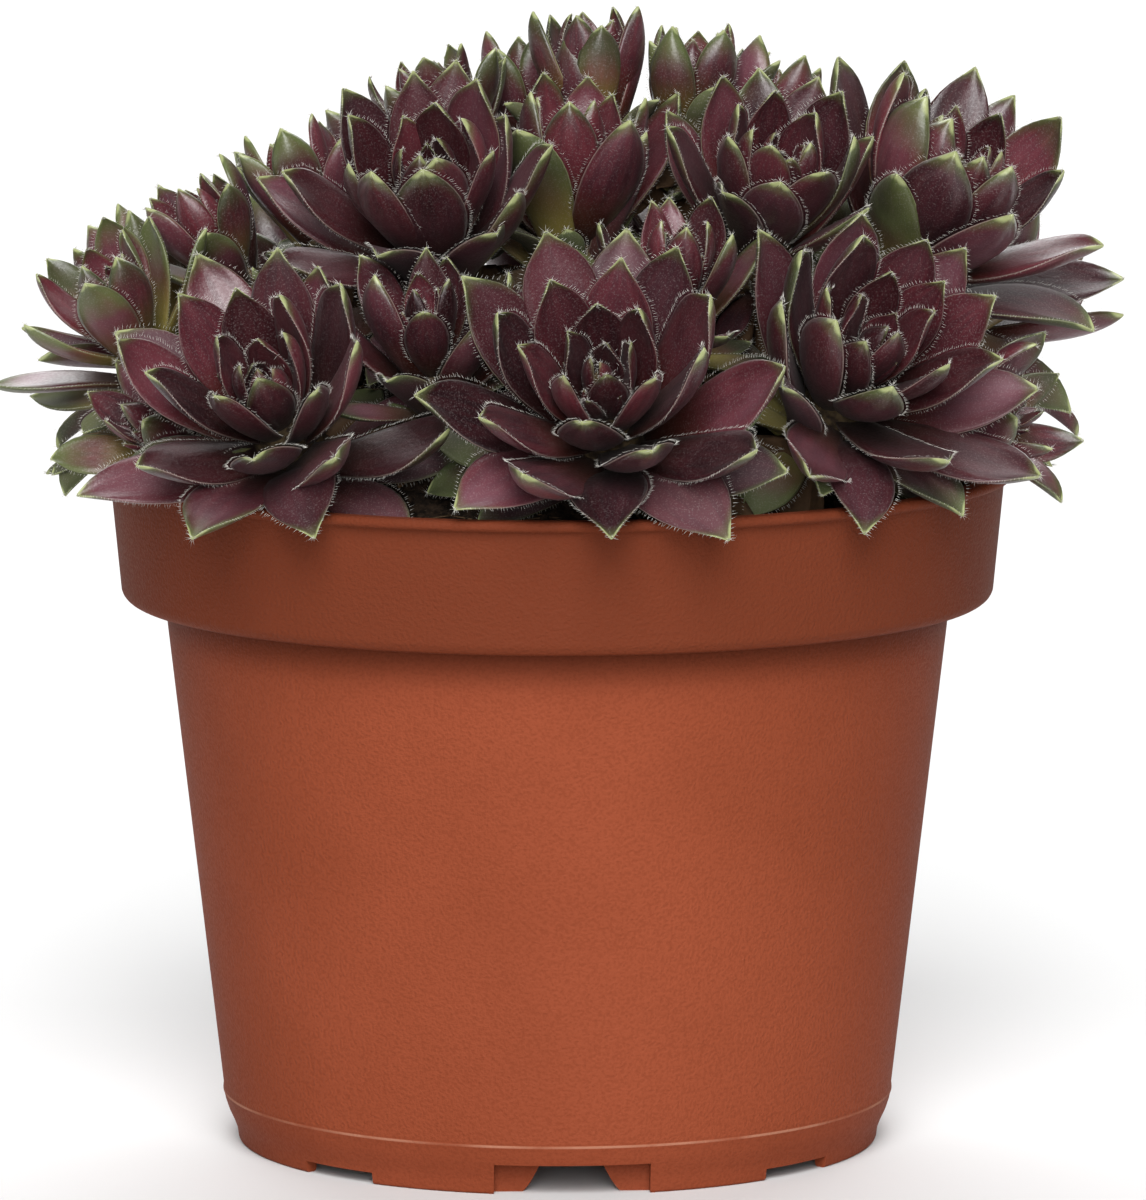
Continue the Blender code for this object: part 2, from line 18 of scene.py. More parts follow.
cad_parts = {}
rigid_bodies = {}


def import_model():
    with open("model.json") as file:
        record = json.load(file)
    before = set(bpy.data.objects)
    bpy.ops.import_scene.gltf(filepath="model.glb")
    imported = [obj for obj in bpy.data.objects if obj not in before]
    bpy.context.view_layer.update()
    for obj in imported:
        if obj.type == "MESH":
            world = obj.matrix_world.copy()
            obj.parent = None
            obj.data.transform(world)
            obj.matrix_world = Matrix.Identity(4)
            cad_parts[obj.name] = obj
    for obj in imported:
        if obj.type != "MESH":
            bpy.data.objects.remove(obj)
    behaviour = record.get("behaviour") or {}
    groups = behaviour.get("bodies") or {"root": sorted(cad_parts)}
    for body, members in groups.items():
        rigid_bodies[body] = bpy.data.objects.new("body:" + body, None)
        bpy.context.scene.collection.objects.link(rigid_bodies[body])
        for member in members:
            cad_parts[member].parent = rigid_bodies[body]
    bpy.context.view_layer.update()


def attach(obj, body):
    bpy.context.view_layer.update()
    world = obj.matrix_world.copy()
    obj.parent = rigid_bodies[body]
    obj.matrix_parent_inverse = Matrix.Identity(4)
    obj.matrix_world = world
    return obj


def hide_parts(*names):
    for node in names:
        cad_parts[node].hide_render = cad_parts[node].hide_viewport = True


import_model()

MM = 0.001
MERGE = 0.01 * MM
ROOT = "root"

# The pot's outer wall, as radii and heights.
ROUND_STEPS = 160
POT_HEIGHT = 91.6 * MM
WALL = 1.2 * MM
FOOT_WALL = 1.8 * MM
FOOT_RADIUS = 43.2 * MM
SHOULDER_RADIUS = 45.1 * MM
SHOULDER_HEIGHT = 6.9 * MM
BODY_TOP_RADIUS = 52.8 * MM
BAND_HEIGHT = 73.6 * MM
BAND_LOW_RADIUS = 58.6 * MM
BAND_TOP_RADIUS = 60.0 * MM
BAND_ROUNDING = 1.8 * MM
LIP_RADIUS = 61.5 * MM
LIP_DEPTH = 1.4 * MM
EDGE_ROUNDING = 0.5 * MM
FLOOR_UNDERSIDE = 5.0 * MM
FOOT_BEND_HEIGHT = 4.3 * MM
FOOT_BEND_RADIUS = 44.5 * MM
SEAM_RISE = 0.12 * MM
SEAM_HALF = 0.25 * MM

# The notches and holes of its foot.
NOTCH_TURN = radians(2.7)
WIDE_NOTCH_WIDTH = 20.6 * MM
WIDE_NOTCH_HEIGHT = 4.2 * MM
POCKET_DEPTH = 3.2 * MM
ARCH_TOP_WIDTH = 8.2 * MM
ARCH_FOOT_WIDTH = 14.6 * MM
ARCH_ROUNDNESS = 0.6
LOW_NOTCH_WIDTH = 12.0 * MM
LOW_NOTCH_HEIGHT = 1.6 * MM
LOW_NOTCHES = 4
CUTTER_DEPTH = 6 * WALL
DRAIN_RADIUS = 3.6 * MM
DRAIN_CIRCLE = 27.0 * MM
DRAIN_HOLES = 6
HOLE_SIDES = 24
POT_SMOOTHING = radians(32)

# The soil.
SOIL_RIM_HEIGHT = 86.0 * MM
SOIL_HEAP = 30.0 * MM
SOIL_HEAP_RADIUS = 54.0 * MM
SOIL_RINGS = 44
SOIL_STEPS = 120
SOIL_GAP = 0.3 * MM
LUMP_SIZES = ((11.0 * MM, 0.9 * MM), (4.0 * MM, 0.7 * MM), (1.6 * MM, 0.35 * MM))
CRUMBS = 2600
CRUMB_RADII = (0.35 * MM, 1.1 * MM)
CRUMB_SQUASH = (0.6, 1.2)
CRUMB_ROUGHNESS = (0.8, 1.2)
FIBRES = 420
FIBRE_LENGTHS = (2.0 * MM, 6.5 * MM)
FIBRE_RADIUS = 0.12 * MM
FIBRE_SCATTER = (1, 1, 0.22)
SCATTER_MARGIN = 1.0 * MM

# The leaves. Angles are measured from the plane across the rosette's axis.
GOLDEN_ANGLE = radians(137.508)
BUD_ELEVATION = radians(84)
STEEPEST = radians(88)
LEAF_SHARES = (0.0, 0.4, 0.78, 1.0)
INNER_LEAF_SHARES = (0.0, 0.62, 1.0)
WIDTH_CURVE = ((0.0, 0.4, 0.62, 0.78, 1.0), (0.18, 0.66, 1.0, 0.88, 0.0))
THICKNESS_CURVE = ((0.0, 0.35, 0.78, 1.0), (0.4, 1.0, 0.75, 0.0))
INNER_RISE = 0.42
BUD_RISE = 0.82
LEAF_WIDTH_SHARE = 0.39
LEAF_THICKNESS_SHARE = 0.078
LEAST_THICKNESS = 0.8 * MM
EDGE_RISE = 0.05
INNERMOST_SHORTER = 0.64
LOWEST_CURL = radians(-12)
INNER_CURL = radians(20)
DROOP = radians(62)
MOST_DROOP = radians(-95)
SKIRT = 0.12
ROOT_INSET = 0.46
TIP_LIFT = 0.03
LENGTH_SPREAD = (0.94, 1.04)
WIDTH_SPREAD = (0.94, 1.08)
TURN_SCATTER = radians(2.5)
CURL_SCATTER = radians(3)
ROLL_SCATTER = radians(5)
LENGTH_POWER = 2.2
ELEVATION_POWER = 0.9
HEIGHT_POWER = 1.15
INSET_POWER = 0.7
SKIRT_FADES = 0.3
CURL_SETTLES = 0.35
DROOP_FADES = 0.5

# The core that carries the leaves, in shares of the longest leaf.
CONE_HEIGHT = 0.34
CONE_RADIUS = 0.20
NECK = 0.30
STEM_RADIUS = 0.085
BUD_LENGTH = 0.26
FOOT_TAPER = 0.9
TOP_TAPER = 0.55
BUD_TAPER = 0.12
CORE_SIDES = 5
STEM_SIDES = 12
FOOT_DEPTH = 6.0 * MM
FOOT_PULL = 0.86

# How leaves make room for each other, for the soil and for the rim.
INTERLEAVE = 1.45
LEAST_ROOM = 0.12
BESIDE = 0.15
FAR_AWAY = 1.0
STRAIGHT = 1e-4
OUTLINE_SHARES = (0.2, 0.3, 0.4, 0.5, 0.6, 0.7, 0.8, 0.9, 1.0)
RIM_LIFT = radians(3)
RIM_CURL = radians(7)
STAND_UP = radians(5)
SHRINK = 0.975
FIRST_SEED = 100
SKIRT_SEED = 300
DETAIL_SEED = 7
CLEARANCE = 0.3 * MM
FLOOR_CLEARANCE = 0.8 * MM
RIM_ZONE_RADIUS = BAND_LOW_RADIUS - 3.0 * MM
MOST_BENDS = 16

Rosette = namedtuple("Rosette", "name x y z lean_to lean length leaves low phase hand")

# Each rosette: its crown in millimetres, the way it leans and by how much, its longest leaf,
# how many leaves it has, the elevation of its lowest leaf, and where its spiral starts.
ROSETTES = [
    Rosette("rosette_front_middle", 6.5, -43, 98, 266, 46, 29, 30, 10, 40, 1),
    Rosette("rosette_front_left", -34.5, -34, 96.5, 252, 47, 28, 28, 10, 248, 1),
    Rosette("rosette_front_right", 35.5, -28, 101, 298, 49, 29, 28, 5, 296, 1),
    Rosette("rosette_middle_left", -15.5, -8, 118, 262, 37, 28, 28, 18, 344, 1),
    Rosette("rosette_middle_right", 27, -5, 120, 285, 36, 25, 26, 20, 224, -1),
    Rosette("rosette_far_right", 46, 1, 116, 307, 34, 30, 28, 8, 16, 1),
    Rosette("rosette_low_right", 51, -11, 96, 335, 66, 20, 12, 0, 90, 1),
    Rosette("rosette_far_left", -54.5, -4, 104.5, 215, 28, 21, 18, 8, 240, -1),
    Rosette("rosette_low_left", -48, -18, 94, 210, 60, 18, 10, 5, 0, -1),
    Rosette("rosette_centre", 2, 1, 119, 270, 8, 25, 18, 45, 60, 1),
    Rosette("rosette_tuft_left", -16, -28, 104, 250, 18, 20, 16, 22, 0, 1),
    Rosette("rosette_tuft_right", 15, -22, 111, 290, 16, 19, 16, 25, 0, -1),
    Rosette("rosette_top_middle", 5, 13, 133, 90, 5, 19, 18, 45, 0, 1),
    Rosette("rosette_top_left", -4, 24, 131, 110, 10, 17, 16, 45, 0, 1),
    Rosette("rosette_top_edge", -14, 13, 130, 150, 15, 17, 16, 40, 0, -1),
    Rosette("rosette_top_right", 17, 13, 132, 60, 10, 18, 16, 45, 0, 1),
    Rosette("rosette_top_end", 27, 21, 127, 40, 18, 19, 16, 40, 0, 1),
    Rosette("rosette_upper_left", -31, 8, 119, 170, 22, 19, 16, 35, 0, 1),
    Rosette("rosette_shoulder_left", -42, 6, 114, 185, 28, 18, 16, 30, 0, -1),
    Rosette("rosette_side_left", -50, 17, 104, 165, 40, 23, 20, 12, 0, 1),
    Rosette("rosette_back_left", -32, 36, 98, 130, 46, 28, 24, 12, 0, 1),
    Rosette("rosette_back_middle", 5, 44, 99, 86, 47, 29, 24, 10, 0, -1),
    Rosette("rosette_back_right", 40, 32, 98, 42, 46, 28, 24, 12, 0, 1),
    Rosette("rosette_side_right", 52, 19, 106, 15, 40, 24, 18, 15, 0, 1),
    Rosette("rosette_rear_left", -18, 30, 116, 125, 25, 24, 20, 25, 0, 1),
    Rosette("rosette_rear_right", 18, 32, 116, 60, 25, 24, 18, 25, 0, -1),
]

# How much greener than the front ones the other rosettes are.
GREENER = {
    "rosette_far_left": 0.75,
    "rosette_low_right": 0.65,
    "rosette_top_end": 0.65,
    "rosette_top_right": 0.60,
    "rosette_top_middle": 0.55,
    "rosette_side_left": 0.50,
    "rosette_low_left": 0.45,
    "rosette_top_left": 0.50,
    "rosette_top_edge": 0.50,
    "rosette_side_right": 0.35,
    "rosette_shoulder_left": 0.40,
    "rosette_centre": 0.35,
    "rosette_tuft_right": 0.25,
    "rosette_far_right": 0.25,
    "rosette_tuft_left": 0.20,
    "rosette_middle_right": 0.15,
    "rosette_upper_left": 0.30,
    "rosette_back_left": 0.20,
    "rosette_rear_right": 0.20,
    "rosette_back_right": 0.10,
}

# How that acts on a rosette's leaves, and the chances from which each leaf's own colour is drawn. Greener
# rosettes draw higher chances and so come out lighter: partly their own tone, partly painted light that
# makes the top, side and back rosettes lighter than the front ones.
INNER_LESS_GREEN = 0.6
LEAF_CHANCES = (0.0, 0.75)
GREENER_CHANCE = 0.6

# The fine leaf: rings along it, and eight points round each ring, from the right edge over the top.
FINE_SHARES = (0.0, 0.20, 0.42, 0.60, 0.75, 0.87, 0.95, 1.0)
BROAD_WIDTHS = (0.42, 0.56, 0.84, 1.0, 0.96, 0.66, 0.22, 0.015)
SLENDER_WIDTHS = (0.46, 0.68, 0.94, 0.98, 0.80, 0.48, 0.20, 0.015)
FINE_DEPTHS = (0.8, 1.0, 1.05, 1.0, 0.85, 0.60, 0.34, 0.08)
FINE_DISHES = (0.03, 0.03, 0.03, 0.05, 0.09, 0.13, 0.10, 0.04)
FINE_LIFTS = (0.0, 0.0, 0.0, 0.0, 0.02, 0.06, 0.12, 0.20)
FINE_SWELLS = (0.0, 0.03, 0.06, 0.06, 0.04, 0.01, 0.0, 0.0)
HOOKS = (-0.4, 1.3)
SLENDER_FROM = (0.35, 0.85)
RING_ACROSS = (1.0, 0.62, 0.0, -0.62, -1.0, -0.56, 0.0, 0.56)
RING_DISH = (1.0, 0.35, 0.0, 0.35, 1.0, 0.0, 0.0, 0.0)
RING_KEEL = (0.0, 0.0, 0.0, 0.0, 0.0, 0.62, 1.0, 0.62)
RING_SWELL = (0.0, 0.8, 1.0, 0.8, 0.0, 0.0, 0.0, 0.0)
RING_UPPER = (0.5, 1.0, 1.0, 1.0, 0.5, 0.0, 0.0, 0.0)
ROUNDING_LOSS = 1.04
INNER_FULL = 0.6
INNER_WIDER = 0.12
INNER_CUPPED = radians(4)

# The smallest leaves, closed over the tip of each bud.
BUD_LEAVES = 10
BUD_LENGTHS = (0.38, 0.18)
BUD_ELEVATIONS = (radians(62), radians(84))
BUD_CURLS = (radians(4), radians(24))
BUD_WIDTH_SHARE = 0.31
BUD_THICKNESS_SHARE = 0.12
BUD_ROOT = 0.25
BUD_TANGLE = 46
TANGLE_SPREAD = 0.05
TANGLE_HEIGHT = 0.22

# The old leaves below the lowest solid ones, which fill the room between the rosettes.
SKIRT_LEAVES = 14
SKIRT_LENGTHS = (0.62, 0.92)
SKIRT_LOWEST = radians(-42)
SKIRT_CURLS = (radians(-30), radians(10))
SKIRT_DROPS = (0.10, 0.30)
SKIRT_ROOT = 0.3
SKIRT_STAND_UP = radians(2)
SKIRT_SHRINK = 0.93

# The hairs.
HAIR_SPACING = 0.40 * MM
HAIR_LENGTHS = (0.38 * MM, 0.85 * MM)
HAIR_RADIUS = 0.028 * MM
HAIR_SHARES = (0.2, 0.985)
HAIR_SCATTER = 0.3
HAIR_ONWARD = (0.1, 0.7)
HAIR_UPWARD = (-0.25, 0.35)
HAIR_BESIDE = 0.9
HAIR_ABOVE = 0.8
HAIR_SCALING = 0.35
ODD_WAY = (0.3, 0.5, 0.8)
FEWEST_HAIRS = 5
FULL_LEAF = 28.0 * MM
TUFT_HAIRS = 11
TUFT_LENGTHS = (0.6 * MM, 1.5 * MM)
TUFT_SINK = 0.4 * MM

# The withered leaves under each rosette.
WITHERED = 16
WITHERED_LENGTH = 0.60
WITHERED_WIDTH = 0.36
WITHERED_LENGTH_SPREAD = (0.7, 1.15)
WITHERED_WIDTH_SPREAD = (0.7, 1.2)
WITHERED_ELEVATIONS = (-48, -8)
WITHERED_CURLS = (-95, -30)
WITHERED_DROPS = (0.15, 0.34)
WITHERED_ROOT = 0.35

# The photograph's view: a camera in front of the pot, a little above it.
CAMERA_PLACE = (2.1 * MM, -1370 * MM, 266 * MM)
CAMERA_DOWN = radians(8.022)
CAMERA_LENS = 308.6

# The light: broad sources high in front, low in front and behind, and a little from all round.
KEY_LIGHT = 3.2
KEY_BREADTH = radians(34)
KEY_ELEVATION = radians(43)
FRONT_LIGHT = 2.3
FRONT_BREADTH = radians(30)
FRONT_ELEVATION = radians(16)
BACK_LIGHT = 3.0
BACK_BREADTH = radians(60)
BACK_ELEVATION = radians(44)
WORLD_LIGHT = 0.08

# The floor.
FLOOR_GREY = (0.67, 0.67, 0.67)
FLOOR_REACH = 6.0


def unit(v):
    return v / np.linalg.norm(v)


def smooth_step(x):
    x = min(1.0, max(0.0, x))
    return x * x * (3 - 2 * x)


def soil_height(r):
    """The soil's level at a distance r from the pot's axis."""
    return SOIL_RIM_HEIGHT + SOIL_HEAP * (1 - smooth_step(r / SOIL_HEAP_RADIUS))


class Crown:
    """Where one rosette stands: its axes, its leaf-bearing cone and its stem."""

    def __init__(self, rosette):
        self.rosette = rosette
        self.base = np.array([rosette.x, rosette.y, rosette.z]) * MM
        to, lean = radians(rosette.lean_to), radians(rosette.lean)
        self.axis = np.array([sin(lean) * cos(to), sin(lean) * sin(to), cos(lean)])
        self.side = unit(np.cross(self.axis, [sin(to), -cos(to), 0.0]))
        self.ahead = np.cross(self.axis, self.side)
        self.length = rosette.length * MM
        self.cone_height = CONE_HEIGHT * self.length
        self.cone_radius = CONE_RADIUS * self.length
        self.top = self.base + self.axis * self.cone_height
        self.neck = self.base - self.axis * NECK * self.length
        self.foot = self.base * FOOT_PULL
        self.foot[2] = soil_height(hypot(*self.foot[:2])) - FOOT_DEPTH

    def outward(self, azimuth):
        return cos(azimuth) * self.side + sin(azimuth) * self.ahead


class Leaf:
    """One leaf: where it leaves the cone, which way it goes and how it curls."""

    greenness = (0.02, 0.26)
    slender = 0.0

    def __init__(self, crown, number, reach, rng):
        rosette = crown.rosette
        self.crown = crown
        self.rise = rise = number / (rosette.leaves - 1)
        self.azimuth = radians(rosette.phase) + rosette.hand * number * GOLDEN_ANGLE
        self.azimuth += rng.normal(0, TURN_SCATTER)
        self.length = crown.length * (1 - INNERMOST_SHORTER * rise**LENGTH_POWER)
        self.length *= rng.uniform(*LENGTH_SPREAD)
        self.width = LEAF_WIDTH_SHARE * self.length * rng.uniform(*WIDTH_SPREAD)
        self.thickness = max(LEAST_THICKNESS, LEAF_THICKNESS_SHARE * self.length)
        out = crown.outward(self.azimuth)
        lowest = max(radians(rosette.low), self.squeezed(reach(out)))
        self.elevation = lowest + (BUD_ELEVATION - lowest) * rise**ELEVATION_POWER
        self.elevation += rng.normal(0, TURN_SCATTER)
        self.curl = LOWEST_CURL + (INNER_CURL - LOWEST_CURL) * smooth_step(rise / CURL_SETTLES)
        self.curl -= DROOP * max(0.0, -out[2]) * (1 - smooth_step(rise / DROOP_FADES))
        self.curl += rng.normal(0, CURL_SCATTER)
        self.roll = rng.normal(0, ROLL_SCATTER)
        self.hook = 1.0

    def squeezed(self, reach):
        """How steep a full leaf has to stand to stay within its reach."""
        room = (reach - self.crown.cone_radius) / self.crown.length
        return acos(min(1.0, max(LEAST_ROOM, room)))

    def root(self, out):
        crown = self.crown
        height = crown.cone_height * self.rise**HEIGHT_POWER
        height -= SKIRT * crown.length * (1 - smooth_step(self.rise / SKIRT_FADES))
        inset = ROOT_INSET * crown.cone_radius * (1 - self.rise) ** INSET_POWER
        return crown.base + crown.axis * height + out * inset

    def midline(self, share):
        """A point of the midrib at a share of the leaf's length, and the leaf's axes there."""
        out = self.crown.outward(self.azimuth)
        turned = self.curl * share
        along = share
        up = 0.0
        if abs(self.curl) > STRAIGHT:
            along = sin(turned) / self.curl
            up = (1 - cos(turned)) / self.curl
        first = self.elevation - self.curl / 2
        start = cos(first) * out + sin(first) * self.crown.axis
        lift = cos(first) * self.crown.axis - sin(first) * out
        point = self.root(out) + self.length * (along * start + up * lift)
        heading = cos(turned) * start + sin(turned) * lift
        level = cos(turned) * lift - sin(turned) * start
        across = np.cross(level, heading)
        across, level = (
            cos(self.roll) * across + sin(self.roll) * level,
            cos(self.roll) * level - sin(self.roll) * across,
        )
        return point, heading, level, across

    def section(self, share):
        """Half the width, the rise of the edges and the depth of the keel at a share of the length."""
        wide = self.width * float(np.interp(share, *WIDTH_CURVE))
        deep = self.thickness * float(np.interp(share, *THICKNESS_CURVE))
        return wide / 2, EDGE_RISE * wide, deep

    def solid(self, extra=0.0):
        """The plain leaf of the solid model as points and triangles."""
        points = []
        shares = INNER_LEAF_SHARES if self.rise > INNER_RISE else LEAF_SHARES
        for share in shares[:-1]:
            point, _, level, across = self.midline(share)
            half, rise, deep = self.section(share)
            edge = point + level * (rise + extra)
            points.append(edge - across * (half + extra))
            points.append(edge + across * (half + extra))
            points.append(point - level * (deep + extra))
        point, heading, level, _ = self.midline(1.0)
        points.append(point + heading * extra + level * TIP_LIFT * self.width)
        faces = [(0, 2, 1)]
        last = len(points) - 1
        for row in range(0, last - 3, 3):
            for here, there in ((0, 1), (1, 2), (2, 0)):
                near, far = row + here, row + there
                faces.append((near, far, far + 3))
                faces.append((near, far + 3, near + 3))
        faces += [(last - 3, last - 2, last), (last - 2, last - 1, last), (last - 1, last - 3, last)]
        return [Vector(point) for point in points], faces

    def outline(self):
        """Points along the keel and the edges, closer together than the solid's own corners."""
        points = []
        for share in OUTLINE_SHARES:
            point, _, level, across = self.midline(share)
            half, _, deep = self.section(share)
            points += [point - level * deep, point - across * half, point + across * half]
        return points

    def refine(self, rng):
        """Cups the inner leaves and broadens them, now that all of them have found their room."""
        self.hook = rng.uniform(*HOOKS)
        low, high = SLENDER_FROM
        self.slender = min(1.0, rng.uniform() ** 2 + smooth_step((self.rise - low) / (high - low)))
        inner = smooth_step(self.rise / INNER_FULL)
        self.curl += INNER_CUPPED * inner
        self.width *= 1 + INNER_WIDER * inner

    def fine_ring(self, share):
        """The middle of a ring of the fine leaf, its axes, and its half width and dish."""
        point, heading, level, across = self.midline(share)
        broad = float(np.interp(share, FINE_SHARES, BROAD_WIDTHS))
        slender = float(np.interp(share, FINE_SHARES, SLENDER_WIDTHS))
        half = ROUNDING_LOSS * self.width / 2 * (broad + self.slender * (slender - broad))
        dish = self.width * float(np.interp(share, FINE_SHARES, FINE_DISHES))
        lift = self.hook * self.width * float(np.interp(share, FINE_SHARES, FINE_LIFTS))
        point = point + level * lift
        return point, heading, level, across, half, min(dish, half)

    def fine_points(self):
        """The corners of the fine leaf, ring by ring: dished above, keeled below."""
        rings = []
        for share, depth, swell in zip(FINE_SHARES, FINE_DEPTHS, FINE_SWELLS):
            point, _, level, across, half, dish = self.fine_ring(share)
            sides = np.array(RING_ACROSS)[:, None] * half * across
            raised = np.array(RING_DISH) * dish + np.array(RING_SWELL) * swell * self.width
            raised = raised[:, None] * level
            keel = np.array(RING_KEEL)[:, None] * self.thickness * depth * level
            rings.append(point + sides + raised - keel)
        return np.array(rings)

    def edge(self, share, side):
        """A point of the fine leaf's edge, and the ways outward, onward and up from it."""
        point, heading, level, across, half, dish = self.fine_ring(share)
        base = point + side * HAIR_BESIDE * half * across + HAIR_ABOVE * dish * level
        return base, side * across, heading, level


class BudLeaf(Leaf):
    """One of the smallest leaves, which close over the tip of the bud."""

    def __init__(self, crown, number, rng):
        rosette = crown.rosette
        share = number / (BUD_LEAVES - 1)
        self.crown = crown
        self.rise = 1.0
        self.azimuth = radians(rosette.phase) + rosette.hand * (rosette.leaves + number) * GOLDEN_ANGLE
        self.azimuth += rng.normal(0, TURN_SCATTER)
        self.length = crown.length * (BUD_LENGTHS[0] + share * (BUD_LENGTHS[1] - BUD_LENGTHS[0]))
        self.length *= rng.uniform(*LENGTH_SPREAD)
        self.width = BUD_WIDTH_SHARE * self.length
        self.thickness = BUD_THICKNESS_SHARE * self.length
        self.elevation = BUD_ELEVATIONS[0] + share * (BUD_ELEVATIONS[1] - BUD_ELEVATIONS[0])
        self.elevation += rng.normal(0, TURN_SCATTER)
        self.curl = BUD_CURLS[0] + share * (BUD_CURLS[1] - BUD_CURLS[0]) + rng.normal(0, CURL_SCATTER)
        self.roll = rng.normal(0, ROLL_SCATTER)
        self.hook = 0.0
        self.slender = 1.0

    def root(self, out):
        return self.crown.top + out * BUD_ROOT * self.crown.cone_radius


class SkirtLeaf(Leaf):
    """One of the old leaves below the lowest solid one of its rosette."""

    greenness = (0.6, 0.3)

    def __init__(self, crown, number, rng):
        rosette = crown.rosette
        share = number / SKIRT_LEAVES
        self.crown = crown
        self.rise = 0.0
        self.azimuth = radians(rosette.phase) - rosette.hand * number * GOLDEN_ANGLE
        self.azimuth += rng.normal(0, 2 * TURN_SCATTER)
        self.length = crown.length * rng.uniform(*SKIRT_LENGTHS)
        self.width = LEAF_WIDTH_SHARE * self.length * rng.uniform(*WIDTH_SPREAD)
        self.thickness = max(LEAST_THICKNESS, LEAF_THICKNESS_SHARE * self.length)
        low = radians(rosette.low)
        self.elevation = low + (SKIRT_LOWEST - low) * share + rng.normal(0, 2 * TURN_SCATTER)
        self.curl = rng.uniform(*SKIRT_CURLS)
        self.roll = rng.normal(0, 2 * ROLL_SCATTER)
        self.hook = rng.uniform(*HOOKS)
        self.drop = SKIRT_DROPS[0] + (SKIRT_DROPS[1] - SKIRT_DROPS[0]) * share

    def root(self, out):
        crown = self.crown
        return crown.base - crown.axis * self.drop * crown.length + out * SKIRT_ROOT * crown.cone_radius


class WitheredLeaf(Leaf):
    """A dead leaf, curled against the stem under the rosette."""

    def __init__(self, crown, number, rng):
        self.crown = crown
        self.rise = 0.0
        self.azimuth = number * GOLDEN_ANGLE + rng.normal(0, 4 * TURN_SCATTER)
        self.length = WITHERED_LENGTH * crown.length * rng.uniform(*WITHERED_LENGTH_SPREAD)
        self.width = WITHERED_WIDTH * self.length * rng.uniform(*WITHERED_WIDTH_SPREAD)
        self.thickness = 0.5 * LEAST_THICKNESS
        self.elevation = radians(rng.uniform(*WITHERED_ELEVATIONS))
        self.curl = radians(rng.uniform(*WITHERED_CURLS))
        self.roll = rng.normal(0, 5 * ROLL_SCATTER)
        self.hook = 0.0
        self.drop = rng.uniform(*WITHERED_DROPS) * crown.length

    def root(self, out):
        crown = self.crown
        return crown.base - crown.axis * self.drop + out * WITHERED_ROOT * crown.cone_radius


def reach_of(crown, crowns):
    """A function giving how far this rosette may reach in a direction before it meets a neighbour."""

    def reach(direction):
        furthest = FAR_AWAY
        for other in crowns:
            away = other.top - crown.top
            distance = np.linalg.norm(away)
            if other is crown or direction @ away < BESIDE * distance:
                continue
            own_share = crown.length / (crown.length + other.length)
            furthest = min(furthest, INTERLEAVE * own_share * distance**2 / (direction @ away))
        return furthest

    return reach


def clear_of_pot(points):
    """True if these points lie above the soil and the rim, or outside the rim."""
    for point in points:
        r = hypot(point[0], point[1])
        floor = POT_HEIGHT if r > RIM_ZONE_RADIUS else soil_height(r)
        if r < LIP_RADIUS + FLOOR_CLEARANCE and point[2] < floor + FLOOR_CLEARANCE:
            return False
    return True


def bend_clear(leaf, others, stand_up=STAND_UP, shrink=SHRINK):
    """Bends the leaf in small steps until it touches nothing. False if it never comes clear."""
    for _ in range(MOST_BENDS):
        if not clear_of_pot(leaf.outline()):
            leaf.elevation += RIM_LIFT
            leaf.curl = max(leaf.curl - RIM_CURL, MOST_DROOP)
            continue
        tree = BVHTree.FromPolygons(*leaf.solid(CLEARANCE))
        if not any(tree.overlap(other) for other in others):
            return True
        leaf.elevation = min(leaf.elevation + stand_up, STEEPEST)
        leaf.length *= shrink
        leaf.width *= shrink
    return False


def tree_of(solids):
    points = []
    faces = []
    for corners, triangles in solids:
        faces += [tuple(i + len(points) for i in triangle) for triangle in triangles]
        points += corners
    return BVHTree.FromPolygons(points, faces)


def grow(crowns):
    """The leaves of every rosette, as in the solid model, then its smallest ones and its withered ones."""
    cores = [core_tree(crown) for crown in crowns]
    trees = []
    for index, crown in enumerate(crowns):
        rng = np.random.default_rng(FIRST_SEED + index)
        reach = reach_of(crown, crowns)
        others = trees + cores[:index] + cores[index + 1 :]
        numbers = reversed(range(crown.rosette.leaves))
        leaves = [Leaf(crown, number, reach, rng) for number in numbers]
        small = [leaf for leaf in leaves if leaf.rise >= BUD_RISE]
        leaves = [leaf for leaf in leaves if leaf.rise < BUD_RISE and bend_clear(leaf, others)]
        trees.append(tree_of([leaf.solid(CLEARANCE) for leaf in leaves]))
        for leaf in leaves + small:
            leaf.refine(rng)
        small += [BudLeaf(crown, number, rng) for number in range(BUD_LEAVES)]
        crown.leaves = leaves + small
        crown.withered = [WitheredLeaf(crown, number, rng) for number in range(WITHERED)]
    for index, crown in enumerate(crowns):
        rng = np.random.default_rng(SKIRT_SEED + index)
        others = trees[:index] + trees[index + 1 :] + cores[:index] + cores[index + 1 :]
        leaves = [SkirtLeaf(crown, number, rng) for number in range(1, SKIRT_LEAVES + 1)]
        leaves = [leaf for leaf in leaves if bend_clear(leaf, others, SKIRT_STAND_UP, SKIRT_SHRINK)]
        crown.leaves += leaves
        trees.append(tree_of([leaf.solid(CLEARANCE) for leaf in leaves]))


